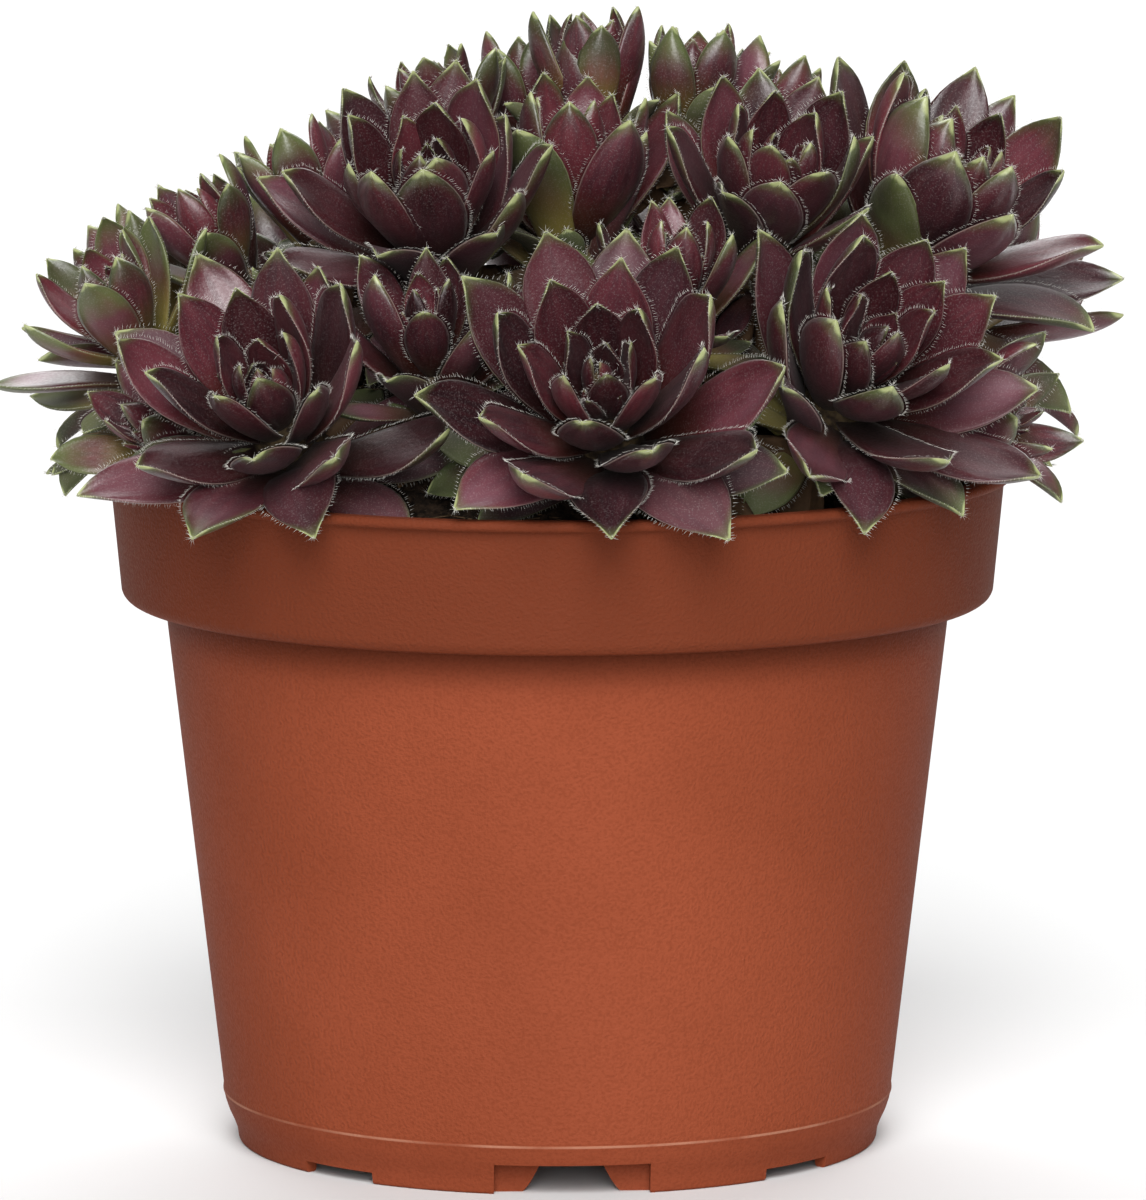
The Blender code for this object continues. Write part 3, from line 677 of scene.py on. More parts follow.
def lofted(rings, sides):
    """A closed bmesh through rings given as (centre, radius), in order along a stem."""
    bm = bmesh.new()
    centres = [Vector(centre) for centre, _ in rings]
    heading = Vector((0, 0, 1))
    turn = Quaternion()
    loops = []
    for row, (_, radius) in enumerate(rings):
        along = (centres[min(row + 1, len(rings) - 1)] - centres[max(row - 1, 0)]).normalized()
        turn = heading.rotation_difference(along) @ turn
        heading = along
        place = Matrix.Translation(centres[row]) @ turn.to_matrix().to_4x4()
        ends = row in (0, len(rings) - 1)
        made = bmesh.ops.create_circle(bm, cap_ends=ends, radius=radius, segments=sides, matrix=place)
        loops.append(made["verts"])
    for low, high in zip(loops, loops[1:]):
        edges = [e for e in bm.edges if all(v in low for v in e.verts)]
        edges += [e for e in bm.edges if all(v in high for v in e.verts)]
        bmesh.ops.bridge_loops(bm, edges=edges)
    bmesh.ops.triangulate(bm, faces=bm.faces, quad_method="FIXED")
    bmesh.ops.recalc_face_normals(bm, faces=bm.faces)
    return bm


def core_of(crown, extra=0.0, sides=CORE_SIDES):
    """The stem and cone of a rosette, swollen by extra all round."""
    stem = STEM_RADIUS * crown.length
    rings = [
        (crown.foot, FOOT_TAPER * stem),
        (crown.neck, stem),
        (crown.base, crown.cone_radius),
        (crown.top, TOP_TAPER * crown.cone_radius),
        (crown.top + crown.axis * BUD_LENGTH * crown.length, BUD_TAPER * crown.cone_radius),
    ]
    return lofted([(centre, radius + extra) for centre, radius in rings], sides)


def core_tree(crown):
    bm = core_of(crown, CLEARANCE)
    tree = BVHTree.FromBMesh(bm)
    bm.free()
    return tree


class Paint:
    """A material being built, with short ways to add its nodes."""

    def __init__(self, name, roughness, **constants):
        self.material = bpy.data.materials.new(name)
        self.material.use_nodes = True
        self.tree = self.material.node_tree
        self.shader = self.tree.nodes["Principled BSDF"]
        self.shader.inputs["Roughness"].default_value = roughness
        for socket, value in constants.items():
            self.shader.inputs[socket.replace("_", " ")].default_value = value

    def put(self, value, socket):
        """Links a socket to an input, or sets the input to a plain value."""
        if isinstance(value, bpy.types.NodeSocket):
            self.tree.links.new(value, socket)
        elif isinstance(value, tuple) and len(value) == 3 and socket.type == "RGBA":
            socket.default_value = (*value, 1.0)
        else:
            socket.default_value = value

    def place(self):
        """The place on the piece, in metres."""
        return self.tree.nodes.new("ShaderNodeTexCoord").outputs["Object"]

    def height(self):
        """The height above the table, in metres."""
        parts = self.tree.nodes.new("ShaderNodeSeparateXYZ")
        self.put(self.place(), parts.inputs[0])
        return parts.outputs["Z"]

    def attribute(self, name):
        node = self.tree.nodes.new("ShaderNodeAttribute")
        node.attribute_name = name
        parts = self.tree.nodes.new("ShaderNodeSeparateColor")
        self.put(node.outputs["Color"], parts.inputs[0])
        return parts.outputs

    def noise(self, scale, detail=3.0, where=None):
        node = self.tree.nodes.new("ShaderNodeTexNoise")
        self.put(where or self.place(), node.inputs["Vector"])
        node.inputs["Scale"].default_value = scale
        node.inputs["Detail"].default_value = detail
        return node.outputs["Fac"]

    def maths(self, operation, *values):
        node = self.tree.nodes.new("ShaderNodeMath")
        node.operation = operation
        for value, socket in zip(values, node.inputs):
            self.put(value, socket)
        return node.outputs[0]

    def times(self, first, second):
        return self.maths("MULTIPLY", first, second)

    def plus(self, first, second):
        return self.maths("ADD", first, second)

    def step(self, value, low, high, out_low=0.0, out_high=1.0):
        """A smooth change from one number to another as value goes from low to high."""
        node = self.tree.nodes.new("ShaderNodeMapRange")
        node.interpolation_type = "SMOOTHSTEP"
        for number, socket in zip((value, low, high, out_low, out_high), node.inputs):
            self.put(number, socket)
        return node.outputs[0]

    def mix(self, factor, first, second, kind="MIX"):
        node = self.tree.nodes.new("ShaderNodeMix")
        node.data_type = "RGBA"
        node.blend_type = kind
        self.put(factor, node.inputs[0])
        self.put(first, node.inputs[6])
        self.put(second, node.inputs[7])
        return node.outputs[2]

    def shade(self, colour, factor):
        """The colour made darker or lighter by a factor."""
        return self.mix(1.0, colour, self.vector(factor, factor, factor), "MULTIPLY")

    def vector(self, x, y, z):
        node = self.tree.nodes.new("ShaderNodeCombineXYZ")
        for value, socket in zip((x, y, z), node.inputs):
            self.put(value, socket)
        return node.outputs[0]

    def bump(self, height, depth, strength=1.0, before=None):
        node = self.tree.nodes.new("ShaderNodeBump")
        node.inputs["Strength"].default_value = strength
        node.inputs["Distance"].default_value = depth
        self.put(height, node.inputs["Height"])
        if before:
            self.put(before, node.inputs["Normal"])
        return node.outputs[0]

    def finish(self, colour, normal=None, roughness=None):
        self.put(colour, self.shader.inputs["Base Color"])
        if normal:
            self.put(normal, self.shader.inputs["Normal"])
        if roughness:
            self.put(roughness, self.shader.inputs["Roughness"])
        return self.material


# The colours, as linear red, green and blue. First the leaves.
WINE = (0.070, 0.0115, 0.0155)
DEEP_WINE = (0.017, 0.0030, 0.0050)
PLUM = (0.132, 0.053, 0.070)
EMBER = (0.095, 0.022, 0.0065)
LEAF_GREEN = (0.080, 0.105, 0.033)
DARK_GREEN = (0.026, 0.033, 0.012)
PALE_GREEN = (0.280, 0.310, 0.135)
YELLOW_GREEN = (0.200, 0.170, 0.040)
RIM_PINK = (0.300, 0.215, 0.205)
RIM_GREEN = (0.220, 0.250, 0.125)
SPECK = (0.330, 0.290, 0.280)


def leaf_paint():
    """Wine red with a mauve tone and painted sheen mid-leaf, painted shade towards the foot, greener at
    the point and the edges, with a pale rim and fine specks.
    """
    paint = Paint("leaf", 0.36, Specular_IOR_Level=0.45, Sheen_Weight=0.02, Sheen_Roughness=0.4)
    step, times, plus = paint.step, paint.times, paint.plus
    # Edge goes from the midrib to the rim, share from the foot to the tip, rise from the lowest leaf to
    # the bud. Chance differs from leaf to leaf.
    edge, share, upper = paint.attribute("spot")
    rise, chance, greenness = paint.attribute("kind")
    other_chance = paint.maths("FRACT", times(chance, 7.31))
    along = paint.vector(times(edge, 1.2), share, times(chance, 40.0))
    streaks = paint.noise(4.0, 3.0, along)
    blotches = paint.noise(170.0, 3.0)
    clouds = paint.noise(70.0, 2.0)
    grain = paint.noise(2600.0, 2.0)
    specks = paint.noise(5200.0, 1.0)

    redness = plus(step(streaks, 0.35, 0.65, 0.0, 0.35), step(clouds, 0.3, 0.7, 0.0, 0.3))
    redness = plus(redness, step(other_chance, 0.0, 1.0, 0.0, 0.45))
    colour = paint.mix(redness, DEEP_WINE, WINE)
    # Each leaf lighter or darker by its chance: at random, and partly painted light, since greener
    # rosettes draw higher chances.
    colour = paint.shade(colour, step(chance, 0.0, 1.0, 0.45, 1.60))

    # Mauve tone, partly the leaf's own and partly painted sheen: lighter along the midrib, towards the tip
    # and on the lower leaves.
    bloom_and_sheen = times(step(rise, 0.0, 0.7, 1.0, 0.15), step(clouds, 0.3, 0.7, 0.10, 0.95))
    bloom_and_sheen = times(bloom_and_sheen, step(chance, 0.0, 1.0, 0.2, 1.0))
    bloom_and_sheen = times(bloom_and_sheen, step(edge, 0.3, 0.95, 1.0, 0.35))
    colour = paint.mix(times(bloom_and_sheen, step(share, 0.3, 0.75)), colour, PLUM)

    foot = times(step(share, 0.15, 0.6, 1.0, 0.0), step(chance, 0.1, 0.9, 0.2, 0.9))
    colour = paint.mix(foot, colour, EMBER)
    # Painted shade: the leaf darkens towards its foot, where the leaves crowd over one another.
    colour = paint.shade(colour, step(share, 0.05, 0.65, 0.14, 1.0))

    reach = plus(share, step(edge, 0.45, 1.0, 0.0, 0.20))
    reach = plus(reach, step(blotches, 0.3, 0.7, -0.05, 0.05))
    reach = plus(reach, step(upper, 0.3, 0.7, 0.06, 0.0))
    reach = plus(reach, step(rise, 0.15, 0.6, 0.08, 0.0))
    reach = plus(reach, times(greenness, 0.55))
    green = paint.mix(step(clouds, 0.35, 0.65), DARK_GREEN, LEAF_GREEN)
    colour = paint.mix(step(reach, 1.06, 1.40, 0.0, 0.85), colour, green)
    fresh = times(step(share, 0.25, 0.75, 1.0, 0.0), step(greenness, 0.45, 0.8, 0.0, 0.7))
    colour = paint.mix(fresh, colour, YELLOW_GREEN)

    tip = plus(share, step(edge, 0.3, 1.0, 0.0, 0.05))
    open_leaf = step(rise, 0.6, 0.95, 1.0, 0.3)
    colour = paint.mix(times(open_leaf, step(tip, 0.90, 0.99, 0.0, 0.5)), colour, LEAF_GREEN)
    colour = paint.mix(times(open_leaf, step(tip, 0.965, 0.998, 0.0, 0.9)), colour, PALE_GREEN)

    rim = paint.mix(step(greenness, 0.0, 0.5, 0.15, 0.9), RIM_PINK, RIM_GREEN)
    rim_share = times(step(edge, 0.94, 1.0, 0.0, 0.65), step(share, 0.1, 0.5, 0.3, 1.0))
    colour = paint.mix(rim_share, colour, rim)
    colour = paint.mix(step(specks, 0.54, 0.72, 0.0, 0.15), colour, SPECK)

    normal = paint.bump(blotches, 0.25 * MM, 0.5)
    normal = paint.bump(grain, 0.05 * MM, 0.6, normal)
    # The lowest leaves are dull, the others as glossy as their grain lets them be.
    dull = step(rise, 0.0, 0.1, 0.7, 0.0)
    return paint.finish(colour, normal, paint.maths("MAXIMUM", dull, step(grain, 0.3, 0.7, 0.29, 0.42)))


# The hairs, the withered leaves, the stems and the soil.
HAIR_GREY = (0.45, 0.43, 0.38)
HAIR_WHITE = (0.78, 0.77, 0.72)
WITHERED_DARK = (0.022, 0.011, 0.006)
WITHERED_TAN = (0.110, 0.062, 0.030)
STEM_DARK = (0.020, 0.012, 0.007)
STEM_BROWN = (0.080, 0.055, 0.026)
PEAT_DARK = (0.007, 0.0045, 0.003)
PEAT_BROWN = (0.034, 0.021, 0.013)
PEAT_SPECK = (0.11, 0.075, 0.045)
FIBRE_DARK = (0.035, 0.02, 0.01)
FIBRE_TAN = (0.22, 0.14, 0.075)


def hair_paint():
    paint = Paint("hair", 0.6, Specular_IOR_Level=0.3)
    return paint.finish(paint.mix(paint.noise(900.0), HAIR_GREY, HAIR_WHITE))


def withered_paint():
    paint = Paint("withered_leaf", 0.8, Specular_IOR_Level=0.2)
    streaks = paint.noise(700.0, 4.0)
    colour = paint.mix(streaks, WITHERED_DARK, WITHERED_TAN)
    return paint.finish(colour, paint.bump(streaks, 0.2 * MM))


def stem_paint():
    paint = Paint("stem", 0.7, Specular_IOR_Level=0.3)
    scars = paint.noise(900.0, 3.0)
    colour = paint.mix(paint.step(scars, 0.35, 0.65), STEM_DARK, STEM_BROWN)
    return paint.finish(colour, paint.bump(scars, 0.3 * MM))


def soil_paint():
    paint = Paint("soil", 0.95, Specular_IOR_Level=0.15)
    lumps = paint.noise(900.0, 5.0)
    specks = paint.noise(4000.0, 2.0)
    colour = paint.mix(paint.step(lumps, 0.35, 0.7), PEAT_DARK, PEAT_BROWN)
    colour = paint.mix(paint.step(specks, 0.62, 0.75, 0.0, 0.6), colour, PEAT_SPECK)
    return paint.finish(colour, paint.bump(lumps, 0.5 * MM))


def fibre_paint():
    paint = Paint("fibre", 0.85, Specular_IOR_Level=0.2)
    return paint.finish(paint.mix(paint.noise(400.0), FIBRE_DARK, FIBRE_TAN))


# The pot, and how deep its grain and the shade under its band are.
POT_BROWN = (0.182, 0.0405, 0.0172)
POT_LIGHT = (0.212, 0.0480, 0.0212)
POT_DARK = (0.117, 0.0228, 0.0087)
BAND_SHADE_BROWN = (0.108, 0.0250, 0.0110)
SEAM_PINK = (0.330, 0.150, 0.095)
LEDGE_SHADE = (0.040, 0.0080, 0.0030)
PORE_DEPTH = 0.22 * MM
DUSK_DEPTH = 6.5 * MM


def pot_paint():
    """Moulded plastic with a fine leathery grain, a band darkened by painted shade, painted shade under
    the band's ledge and a pale edge along the parting seam.
    """
    paint = Paint("pot", 0.6, Specular_IOR_Level=0.03)
    step, times = paint.step, paint.times
    height = paint.height()
    tone = paint.noise(28.0, 3.0)
    colour = paint.mix(step(tone, 0.3, 0.7), POT_BROWN, POT_LIGHT)
    pores = paint.noise(2300.0, 2.0)
    # Painted shade: the whole band is darkened, standing in for the shade of the leaves that hang over it.
    band = step(height, BAND_HEIGHT - 0.6 * MM, BAND_HEIGHT + 1.2 * MM, 0.0, 0.88)
    colour = paint.mix(band, colour, BAND_SHADE_BROWN)
    colour = paint.mix(step(pores, 0.36, 0.56, 0.25, 0.0), colour, POT_DARK)
    dusk = step(height, BAND_HEIGHT - DUSK_DEPTH, BAND_HEIGHT - 0.5 * MM)
    dusk = times(dusk, step(height, BAND_HEIGHT, BAND_HEIGHT + 0.5 * MM, 0.55, 0.0))
    colour = paint.mix(dusk, colour, LEDGE_SHADE)
    off_seam = paint.maths("ABSOLUTE", paint.maths("SUBTRACT", height, SHOULDER_HEIGHT - 0.5 * SEAM_HALF))
    seam = step(off_seam, 0.4 * SEAM_HALF, 0.9 * SEAM_HALF, 1.0, 0.0)
    seam = times(seam, step(paint.noise(90.0), 0.35, 0.6, 0.15, 0.8))
    colour = paint.mix(seam, colour, SEAM_PINK)
    grained = step(height, SHOULDER_HEIGHT, SHOULDER_HEIGHT + 0.4 * MM, 0.45, 1.0)
    normal = paint.bump(times(pores, grained), PORE_DEPTH, 0.9)
    return paint.finish(colour, normal, step(pores, 0.3, 0.7, 0.64, 0.50))


def add_piece(name, mesh, paint, smooth_angle=None):
    """The mesh as a piece of the plant, riding with it."""
    mesh.materials.append(paint)
    mesh.shade_smooth()
    if smooth_angle:
        mesh.set_sharp_from_angle(angle=smooth_angle)
    piece = bpy.data.objects.new(name, mesh)
    bpy.context.scene.collection.objects.link(piece)
    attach(piece, ROOT)
    return piece


def mesh_of(name, bm):
    mesh = bpy.data.meshes.new(name)
    bm.to_mesh(mesh)
    bm.free()
    return mesh


def stamped(name, blank, copies, colours=None):
    """One mesh of many copies of a blank mesh. Each copy gives the places of the blank's points."""
    count = len(copies)
    points = len(blank.vertices)
    corners = np.empty(len(blank.loops), np.int32)
    blank.loops.foreach_get("vertex_index", corners)
    starts = np.empty(len(blank.polygons), np.int32)
    blank.polygons.foreach_get("loop_start", starts)
    mesh = bpy.data.meshes.new(name)
    mesh.vertices.add(count * points)
    mesh.vertices.foreach_set("co", np.asarray(copies, np.float32).ravel())
    mesh.loops.add(count * len(corners))
    mesh.loops.foreach_set("vertex_index", (corners + points * np.arange(count)[:, None]).ravel())
    mesh.polygons.add(count * len(starts))
    mesh.polygons.foreach_set("loop_start", (starts + len(corners) * np.arange(count)[:, None]).ravel())
    mesh.update(calc_edges=True)
    for layer, values in (colours or {}).items():
        attribute = mesh.color_attributes.new(layer, "FLOAT_COLOR", "POINT")
        attribute.data.foreach_set("color", np.asarray(values, np.float32).ravel())
    return mesh


def leaf_blank():
    """An eight-sided prism with a ring for each share of the leaf, and each point's ring and corner."""
    bm = bmesh.new()
    place = Matrix.Translation((0, 0, 0.5))
    bmesh.ops.create_cone(bm, cap_ends=True, segments=8, radius1=1, radius2=1, depth=1, matrix=place)
    upright = [e for e in bm.edges if abs(e.verts[0].co.z - e.verts[1].co.z) > 0.5]
    bmesh.ops.subdivide_edges(bm, edges=upright, cuts=len(FINE_SHARES) - 2)
    mesh = mesh_of("leaf_blank", bm)
    rows = [round(v.co.z * (len(FINE_SHARES) - 1)) for v in mesh.vertices]
    turns = [round(4 * atan2(v.co.y, v.co.x) / pi) % 8 for v in mesh.vertices]
    return mesh, np.array(rows), np.array(turns)


def leaf_mesh(name, leaves, rng):
    """The leaves of one rosette in one mesh, with what the paint needs to know at each point."""
    blank, rows, turns = leaf_blank()
    copies = [leaf.fine_points()[rows, turns] for leaf in leaves]
    spot = np.ones((len(rows), 4))
    spot[:, 0] = np.abs(np.array(RING_ACROSS))[turns]
    spot[:, 1] = np.array(FINE_SHARES)[rows]
    spot[:, 2] = np.array(RING_UPPER)[turns]
    kinds = []
    for leaf in leaves:
        kind = np.ones((len(rows), 4))
        greener = GREENER.get(leaf.crown.rosette.name, 0.0)
        greenness = max(0.0, rng.normal(*leaf.greenness) + greener) * (1.0 - INNER_LESS_GREEN * leaf.rise)
        # Greener rosettes draw higher chances, which paints their leaves lighter: partly painted light.
        chance = min(1.0, rng.uniform(*LEAF_CHANCES) + GREENER_CHANCE * greener)
        kind[:, :3] = leaf.rise, chance, min(1.0, greenness)
        kinds.append(kind)
    colours = {"spot": np.tile(spot, (len(leaves), 1)), "kind": np.concatenate(kinds)}
    mesh = stamped(name, blank, copies, colours)
    bpy.data.meshes.remove(blank)
    return mesh


def hair_blank():
    """A three-sided needle, one unit long, standing on its base."""
    bm = bmesh.new()
    place = Matrix.Translation((0, 0, 0.5))
    bmesh.ops.create_cone(bm, cap_ends=True, segments=3, radius1=1, radius2=0, depth=1, matrix=place)
    return mesh_of("hair_blank", bm)


def points_of(mesh):
    points = np.empty(len(mesh.vertices) * 3, np.float32)
    mesh.vertices.foreach_get("co", points)
    return points.reshape(-1, 3)


def standing(points, base, way, length, radius):
    """The needle's points, standing at base and pointing along way."""
    way = unit(way)
    side = unit(np.cross(way, ODD_WAY))
    other = np.cross(way, side)
    across = points[:, :1] * radius * side + points[:, 1:2] * radius * other
    return base + across + points[:, 2:] * length * way


def hairs_of(leaf, points, rng):
    """The fringe of hairs along both edges of a leaf and the tuft at its tip."""
    count = max(FEWEST_HAIRS, round(leaf.length * (HAIR_SHARES[1] - HAIR_SHARES[0]) / HAIR_SPACING))
    scale = (leaf.length / FULL_LEAF) ** HAIR_SCALING
    found = []
    for side in (-1, 1):
        for share in np.linspace(*HAIR_SHARES, count):
            share += rng.uniform(-HAIR_SCATTER, HAIR_SCATTER) * HAIR_SPACING / leaf.length
            base, out, onward, up = leaf.edge(share, side)
            way = out + onward * rng.uniform(*HAIR_ONWARD) + up * rng.uniform(*HAIR_UPWARD)
            length = scale * rng.uniform(*HAIR_LENGTHS)
            found.append(standing(points, base, way, length, HAIR_RADIUS))
    tip, onward, up, across, _, _ = leaf.fine_ring(1.0)
    for _ in range(TUFT_HAIRS):
        way = onward * rng.uniform(0.0, 0.9) + up * rng.normal(0.3, 0.5) + across * rng.normal(0, 0.7)
        length = scale * rng.uniform(*TUFT_LENGTHS)
        found.append(standing(points, tip - onward * TUFT_SINK, way, length, HAIR_RADIUS))
    return found


def tangle_of(crown, points, rng):
    """The white hairs caught in the heart of a rosette."""
    found = []
    for _ in range(BUD_TANGLE):
        spread = rng.normal(0, TANGLE_SPREAD, 3) * crown.length
        base = crown.top + crown.axis * TANGLE_HEIGHT * crown.length + spread
        way = crown.axis * rng.uniform(0.1, 1.0) + rng.normal(0, 0.6, 3)
        found.append(standing(points, base, way, rng.uniform(*TUFT_LENGTHS), HAIR_RADIUS))
    return found


def add_rosette(crown, paints, rng):
    """One rosette: its leaves and the hairs on them."""
    name = crown.rosette.name
    mesh = leaf_mesh(name, crown.leaves, rng)
    leaves = add_piece(name.replace("rosette", "leaves"), mesh, paints["leaf"])
    smooth = leaves.modifiers.new("rounding", "SUBSURF")
    smooth.levels = 1
    smooth.render_levels = 1
    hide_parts(name)
    blank = hair_blank()
    points = points_of(blank)
    needles = [needle for leaf in crown.leaves for needle in hairs_of(leaf, points, rng)]
    needles += tangle_of(crown, points, rng)
    add_piece(name.replace("rosette", "hairs"), stamped("hairs", blank, needles), paints["hair"])
    bpy.data.meshes.remove(blank)


def add_stems(crowns, paints):
    bm = bmesh.new()
    for crown in crowns:
        stem = mesh_of("stem", core_of(crown, sides=STEM_SIDES))
        bm.from_mesh(stem)
        bpy.data.meshes.remove(stem)
    add_piece("stems", mesh_of("stems", bm), paints["stem"])


def add_withered_leaves(crowns, paints):
    blank, rows, turns = leaf_blank()
    copies = [leaf.fine_points()[rows, turns] for crown in crowns for leaf in crown.withered]
    add_piece("withered_leaves", stamped("withered_leaves", blank, copies), paints["withered"])
    bpy.data.meshes.remove(blank)


def turned(profile, steps):
    """A solid of revolution about the Z axis from (radius, height) points that end on the axis."""
    bm = bmesh.new()
    chain = [bm.verts.new((r, 0.0, z)) for r, z in profile]
    edges = [bm.edges.new(pair) for pair in zip(chain, chain[1:])]
    bmesh.ops.spin(
        bm,
        geom=chain + edges,
        axis=(0, 0, 1),
        cent=(0, 0, 0),
        angle=2 * pi,
        steps=steps,
        use_merge=True,
    )
    bmesh.ops.remove_doubles(bm, verts=bm.verts, dist=MERGE)
    bmesh.ops.dissolve_degenerate(bm, edges=bm.edges, dist=MERGE)
    bmesh.ops.recalc_face_normals(bm, faces=bm.faces)
    return bm


def arc(centre, radius, first, last, steps):
    """Points on a circle of the profile from one angle to another, in degrees."""
    angles = [radians(first + (last - first) * k / steps) for k in range(steps + 1)]
    return [(centre[0] + radius * cos(a), centre[1] + radius * sin(a)) for a in angles]


def pot_profile():
    """The pot's section: under the floor, round the foot, up the wall, over the lip and down inside."""
    skirt = FOOT_RADIUS - FOOT_WALL
    floor_top = FLOOR_UNDERSIDE + WALL
    lip_foot = POT_HEIGHT - LIP_DEPTH
    half_lip = LIP_DEPTH / 2
    profile = [(0.0, FLOOR_UNDERSIDE), (skirt, FLOOR_UNDERSIDE)]
    profile += arc((skirt + EDGE_ROUNDING, EDGE_ROUNDING), EDGE_ROUNDING, 180, 270, 3)
    profile += arc((FOOT_RADIUS - EDGE_ROUNDING, EDGE_ROUNDING), EDGE_ROUNDING, 270, 350, 3)
    profile += [
        (FOOT_RADIUS + 0.15 * MM, LOW_NOTCH_HEIGHT),
        (FOOT_RADIUS + 0.6 * MM, 0.65 * FOOT_BEND_HEIGHT),
        (FOOT_BEND_RADIUS, FOOT_BEND_HEIGHT),
        (SHOULDER_RADIUS - 0.2 * MM, SHOULDER_HEIGHT - 1.4 * MM),
        (SHOULDER_RADIUS, SHOULDER_HEIGHT - 2 * SEAM_HALF),
        (SHOULDER_RADIUS + SEAM_RISE, SHOULDER_HEIGHT - SEAM_HALF),
        (SHOULDER_RADIUS + SEAM_RISE, SHOULDER_HEIGHT),
        (SHOULDER_RADIUS + 0.04 * MM, SHOULDER_HEIGHT + 2 * SEAM_HALF),
        (BODY_TOP_RADIUS, BAND_HEIGHT),
    ]
    corner = (BAND_LOW_RADIUS - BAND_ROUNDING, BAND_HEIGHT + BAND_ROUNDING)
    profile += arc(corner, BAND_ROUNDING, -90, 0, 8)
    profile += [(BAND_TOP_RADIUS, lip_foot - 0.3 * MM), (BAND_TOP_RADIUS + 0.35 * MM, lip_foot)]
    profile += arc((LIP_RADIUS - half_lip, POT_HEIGHT - half_lip), half_lip, -60, 90, 8)
    profile += [
        (BAND_TOP_RADIUS - WALL + EDGE_ROUNDING, POT_HEIGHT),
        (BAND_TOP_RADIUS - WALL, POT_HEIGHT - EDGE_ROUNDING),
        (BAND_LOW_RADIUS - WALL, BAND_HEIGHT + BAND_ROUNDING),
        (BODY_TOP_RADIUS - WALL, BAND_HEIGHT + WALL / 2),
        (SHOULDER_RADIUS - WALL, floor_top),
        (0.0, floor_top),
    ]
    return profile


def box(width, depth, height, place):
    """A closed block standing on the plane z = 0 of its place, with its middle on the X axis."""
    bm = bmesh.new()
    bmesh.ops.create_cube(bm, size=1.0)
    bmesh.ops.scale(bm, vec=(depth, width, height), verts=bm.verts)
    bmesh.ops.translate(bm, vec=(0, 0, height / 2), verts=bm.verts)
    bmesh.ops.transform(bm, matrix=place, verts=bm.verts)
    return bm


def at_rim(turn, radius, height=0.0):
    """A place on the foot ring: turned about Z, then out along its own X axis."""
    return Matrix.Rotation(turn, 4, "Z") @ Matrix.Translation((radius, 0, height))


def wide_notches():
    return [NOTCH_TURN - pi / 2, NOTCH_TURN + pi / 2]


def upright_edge(edge):
    return abs(edge.verts[0].co.z - edge.verts[1].co.z) > 0.5 * WIDE_NOTCH_HEIGHT


def arch(turn):
    """The arched gap in the recessed wall: wider at the foot than at the top, with rounded sides."""
    bm = box(ARCH_FOOT_WIDTH, 4 * POCKET_DEPTH, WIDE_NOTCH_HEIGHT, Matrix.Identity(4))
    bmesh.ops.subdivide_edges(bm, edges=[e for e in bm.edges if upright_edge(e)], cuts=8)
    for v in bm.verts:
        share = (v.co.z / WIDE_NOTCH_HEIGHT) ** ARCH_ROUNDNESS
        v.co.y *= 1 - share * (1 - ARCH_TOP_WIDTH / ARCH_FOOT_WIDTH)
    bmesh.ops.translate(bm, vec=(0, 0, -EDGE_ROUNDING), verts=bm.verts)
    bmesh.ops.transform(bm, matrix=at_rim(turn, FOOT_RADIUS - POCKET_DEPTH), verts=bm.verts)
    return bm


def combined(mesh, tools, operation):
    """The mesh after one Boolean with the tools, which are then gone."""
    base = bpy.data.objects.new("base", mesh)
    group = bpy.data.collections.new("tools")
    bpy.context.scene.collection.children.link(group)
    bpy.context.scene.collection.objects.link(base)
    for bm in tools:
        group.objects.link(bpy.data.objects.new("tool", mesh_of("tool", bm)))
    boolean = base.modifiers.new("combine", "BOOLEAN")
    boolean.operation = operation
    boolean.solver = "EXACT"
    boolean.operand_type = "COLLECTION"
    boolean.collection = group
    graph = bpy.context.evaluated_depsgraph_get()
    joined = bpy.data.meshes.new_from_object(base.evaluated_get(graph))
    for obj in [base, *group.objects]:
        bpy.data.objects.remove(obj)
    bpy.data.collections.remove(group)
    return joined


def drain_hole(number):
    bm = bmesh.new()
    place = at_rim(2 * pi * number / DRAIN_HOLES, DRAIN_CIRCLE, FLOOR_UNDERSIDE)
    bmesh.ops.create_cone(
        bm,
        cap_ends=True,
        segments=HOLE_SIDES,
        radius1=DRAIN_RADIUS,
        radius2=DRAIN_RADIUS,
        depth=CUTTER_DEPTH,
        matrix=place,
    )
    return bm


def add_pot(paints):
    mesh = mesh_of("pot", turned(pot_profile(), ROUND_STEPS))
    pocket_middle = FOOT_RADIUS - POCKET_DEPTH - 0.5 * WALL
    backing_width = WIDE_NOTCH_WIDTH + WALL
    backings = [
        box(backing_width, POCKET_DEPTH + WALL, FLOOR_UNDERSIDE + 0.5 * WALL, at_rim(turn, pocket_middle))
        for turn in wide_notches()
    ]
    mesh = combined(mesh, backings, "UNION")
    cutters = []
    for turn in wide_notches():
        place = at_rim(turn, FOOT_RADIUS + 0.5 * POCKET_DEPTH, -EDGE_ROUNDING)
        cutters.append(box(WIDE_NOTCH_WIDTH, 3 * POCKET_DEPTH, WIDE_NOTCH_HEIGHT + EDGE_ROUNDING, place))
        cutters.append(arch(turn))
    for quarter in range(LOW_NOTCHES):
        place = at_rim(NOTCH_TURN + pi / 4 + quarter * pi / 2, FOOT_RADIUS, -EDGE_ROUNDING)
        cutters.append(box(LOW_NOTCH_WIDTH, CUTTER_DEPTH, LOW_NOTCH_HEIGHT + EDGE_ROUNDING, place))
    mesh = combined(mesh, cutters, "DIFFERENCE")
    mesh = combined(mesh, [drain_hole(k) for k in range(DRAIN_HOLES)], "DIFFERENCE")
    pot = add_piece("plastic_pot", mesh, paints["pot"], POT_SMOOTHING)
    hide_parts("pot")


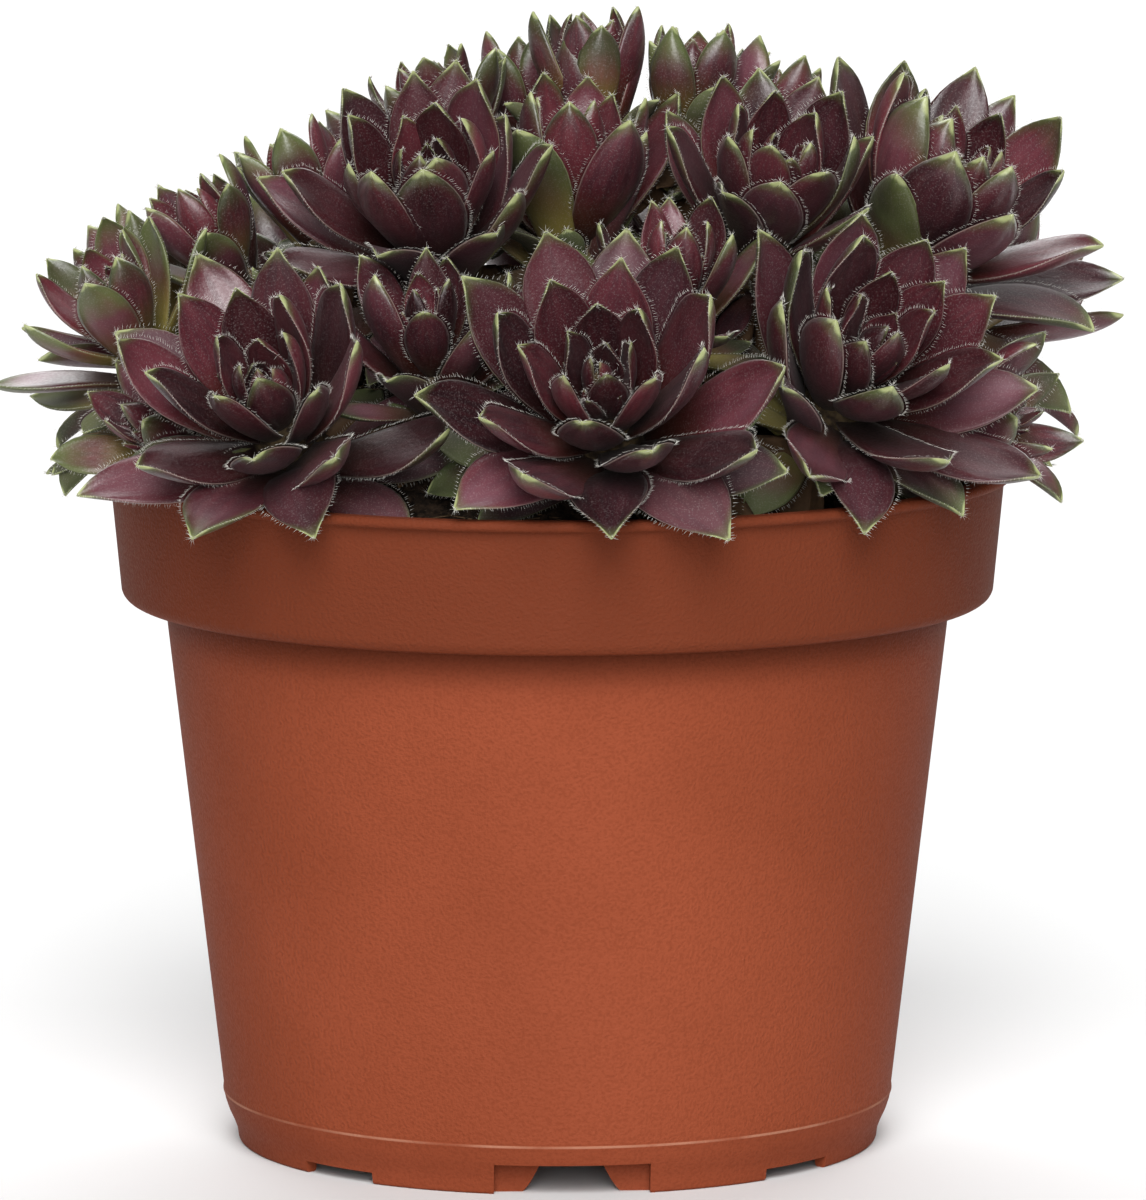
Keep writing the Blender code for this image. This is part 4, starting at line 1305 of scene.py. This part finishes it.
def lumpy(point):
    """How far the soil's surface is raised at a point."""
    return sum(height * noise.noise(Vector(point) / size) for size, height in LUMP_SIZES)


def soil_profile():
    shift = WALL + SOIL_GAP
    edge = BAND_LOW_RADIUS - shift
    floor = FLOOR_UNDERSIDE + shift
    profile = [
        (0.0, floor),
        (SHOULDER_RADIUS - shift - SOIL_GAP, floor),
        (BODY_TOP_RADIUS - shift - SOIL_GAP, BAND_HEIGHT + WALL),
        (edge - SOIL_GAP, BAND_HEIGHT + BAND_ROUNDING + WALL),
    ]
    radii = [edge * (SOIL_RINGS - k) / SOIL_RINGS for k in range(SOIL_RINGS + 1)]
    return profile + [(r, soil_height(r)) for r in radii]


def add_soil(paints, rng):
    """The heaped soil, and the crumbs and fibres lying on it."""
    bm = turned(soil_profile(), SOIL_STEPS)
    for v in bm.verts:
        if v.co.z > SOIL_RIM_HEIGHT - 1.0 * MM:
            v.co.z += lumpy(v.co)
    soil = add_piece("peat", mesh_of("peat", bm), paints["soil"])
    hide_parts("soil")
    crumb = bmesh.new()
    bmesh.ops.create_icosphere(crumb, subdivisions=1, radius=1.0)
    add_scattered("crumbs", mesh_of("crumb_blank", crumb), CRUMBS, CRUMB_RADII, None, paints["soil"], rng)
    add_scattered("fibres", hair_blank(), FIBRES, FIBRE_LENGTHS, FIBRE_RADIUS, paints["fibre"], rng)


def add_scattered(name, blank, count, sizes, radius, paint, rng):
    """Copies of a blank scattered over the soil: lumps where radius is None, or else fibres."""
    points = points_of(blank)
    edge = BAND_LOW_RADIUS - WALL - sizes[0] - SCATTER_MARGIN
    copies = []
    for _ in range(count):
        r = edge * rng.uniform() ** 0.5
        turn = rng.uniform(0, 2 * pi)
        size = rng.uniform(*sizes) if radius else sizes[0] + (sizes[1] - sizes[0]) * rng.uniform() ** 3
        place = np.array([r * cos(turn), r * sin(turn), soil_height(r)])
        place[2] += lumpy(place)
        if radius:
            way = rng.normal(0, 1, 3) * FIBRE_SCATTER
            copies.append(standing(points, place + (0, 0, radius), way, size, radius))
        else:
            squash = rng.uniform(*CRUMB_SQUASH, 3)
            rough = rng.uniform(*CRUMB_ROUGHNESS, (len(points), 1))
            copies.append(place + points * size * squash * rough)
    add_piece(name, stamped(name, blank, copies), paint)
    bpy.data.meshes.remove(blank)


def add_light(name, strength, breadth, elevation, turn=0.0):
    """A broad source far away, as high as the angle says, in front of the plant or turned round it."""
    data = bpy.data.lights.new(name, "SUN")
    data.energy = strength
    data.angle = breadth
    light = bpy.data.objects.new(name, data)
    light.rotation_euler = (pi / 2 - elevation, 0, turn)
    bpy.context.scene.collection.objects.link(light)


def add_stage():
    """A plain pale floor, broad soft light from in front and behind, and the camera."""
    bm = bmesh.new()
    bmesh.ops.create_grid(bm, x_segments=1, y_segments=1, size=FLOOR_REACH)
    floor = bpy.data.objects.new("floor", mesh_of("floor", bm))
    bpy.context.scene.collection.objects.link(floor)
    paint = Paint("floor", 0.8, Specular_IOR_Level=0.1)
    floor.data.materials.append(paint.finish(FLOOR_GREY))
    world = bpy.data.worlds.new("studio")
    bpy.context.scene.world = world
    world.use_nodes = True
    background = world.node_tree.nodes["Background"]
    background.inputs["Color"].default_value = (1.0, 1.0, 1.0, 1.0)
    background.inputs["Strength"].default_value = WORLD_LIGHT
    add_light("key", KEY_LIGHT, KEY_BREADTH, KEY_ELEVATION)
    add_light("front", FRONT_LIGHT, FRONT_BREADTH, FRONT_ELEVATION)
    add_light("back", BACK_LIGHT, BACK_BREADTH, BACK_ELEVATION, pi)
    data = bpy.data.cameras.new("camera")
    data.lens = CAMERA_LENS
    camera = bpy.data.objects.new("camera", data)
    camera.location = CAMERA_PLACE
    camera.rotation_euler = (pi / 2 - CAMERA_DOWN, 0, 0)
    bpy.context.scene.collection.objects.link(camera)
    bpy.context.scene.camera = camera
    bpy.context.scene.view_settings.view_transform = "Standard"


def main():
    paints = {
        "leaf": leaf_paint(),
        "hair": hair_paint(),
        "withered": withered_paint(),
        "stem": stem_paint(),
        "soil": soil_paint(),
        "fibre": fibre_paint(),
        "pot": pot_paint(),
    }
    rng = np.random.default_rng(DETAIL_SEED)
    crowns = [Crown(rosette) for rosette in ROSETTES]
    grow(crowns)
    for crown in crowns:
        add_rosette(crown, paints, rng)
    add_stems(crowns, paints)
    add_withered_leaves(crowns, paints)
    add_soil(paints, rng)
    add_pot(paints)
    add_stage()


main()
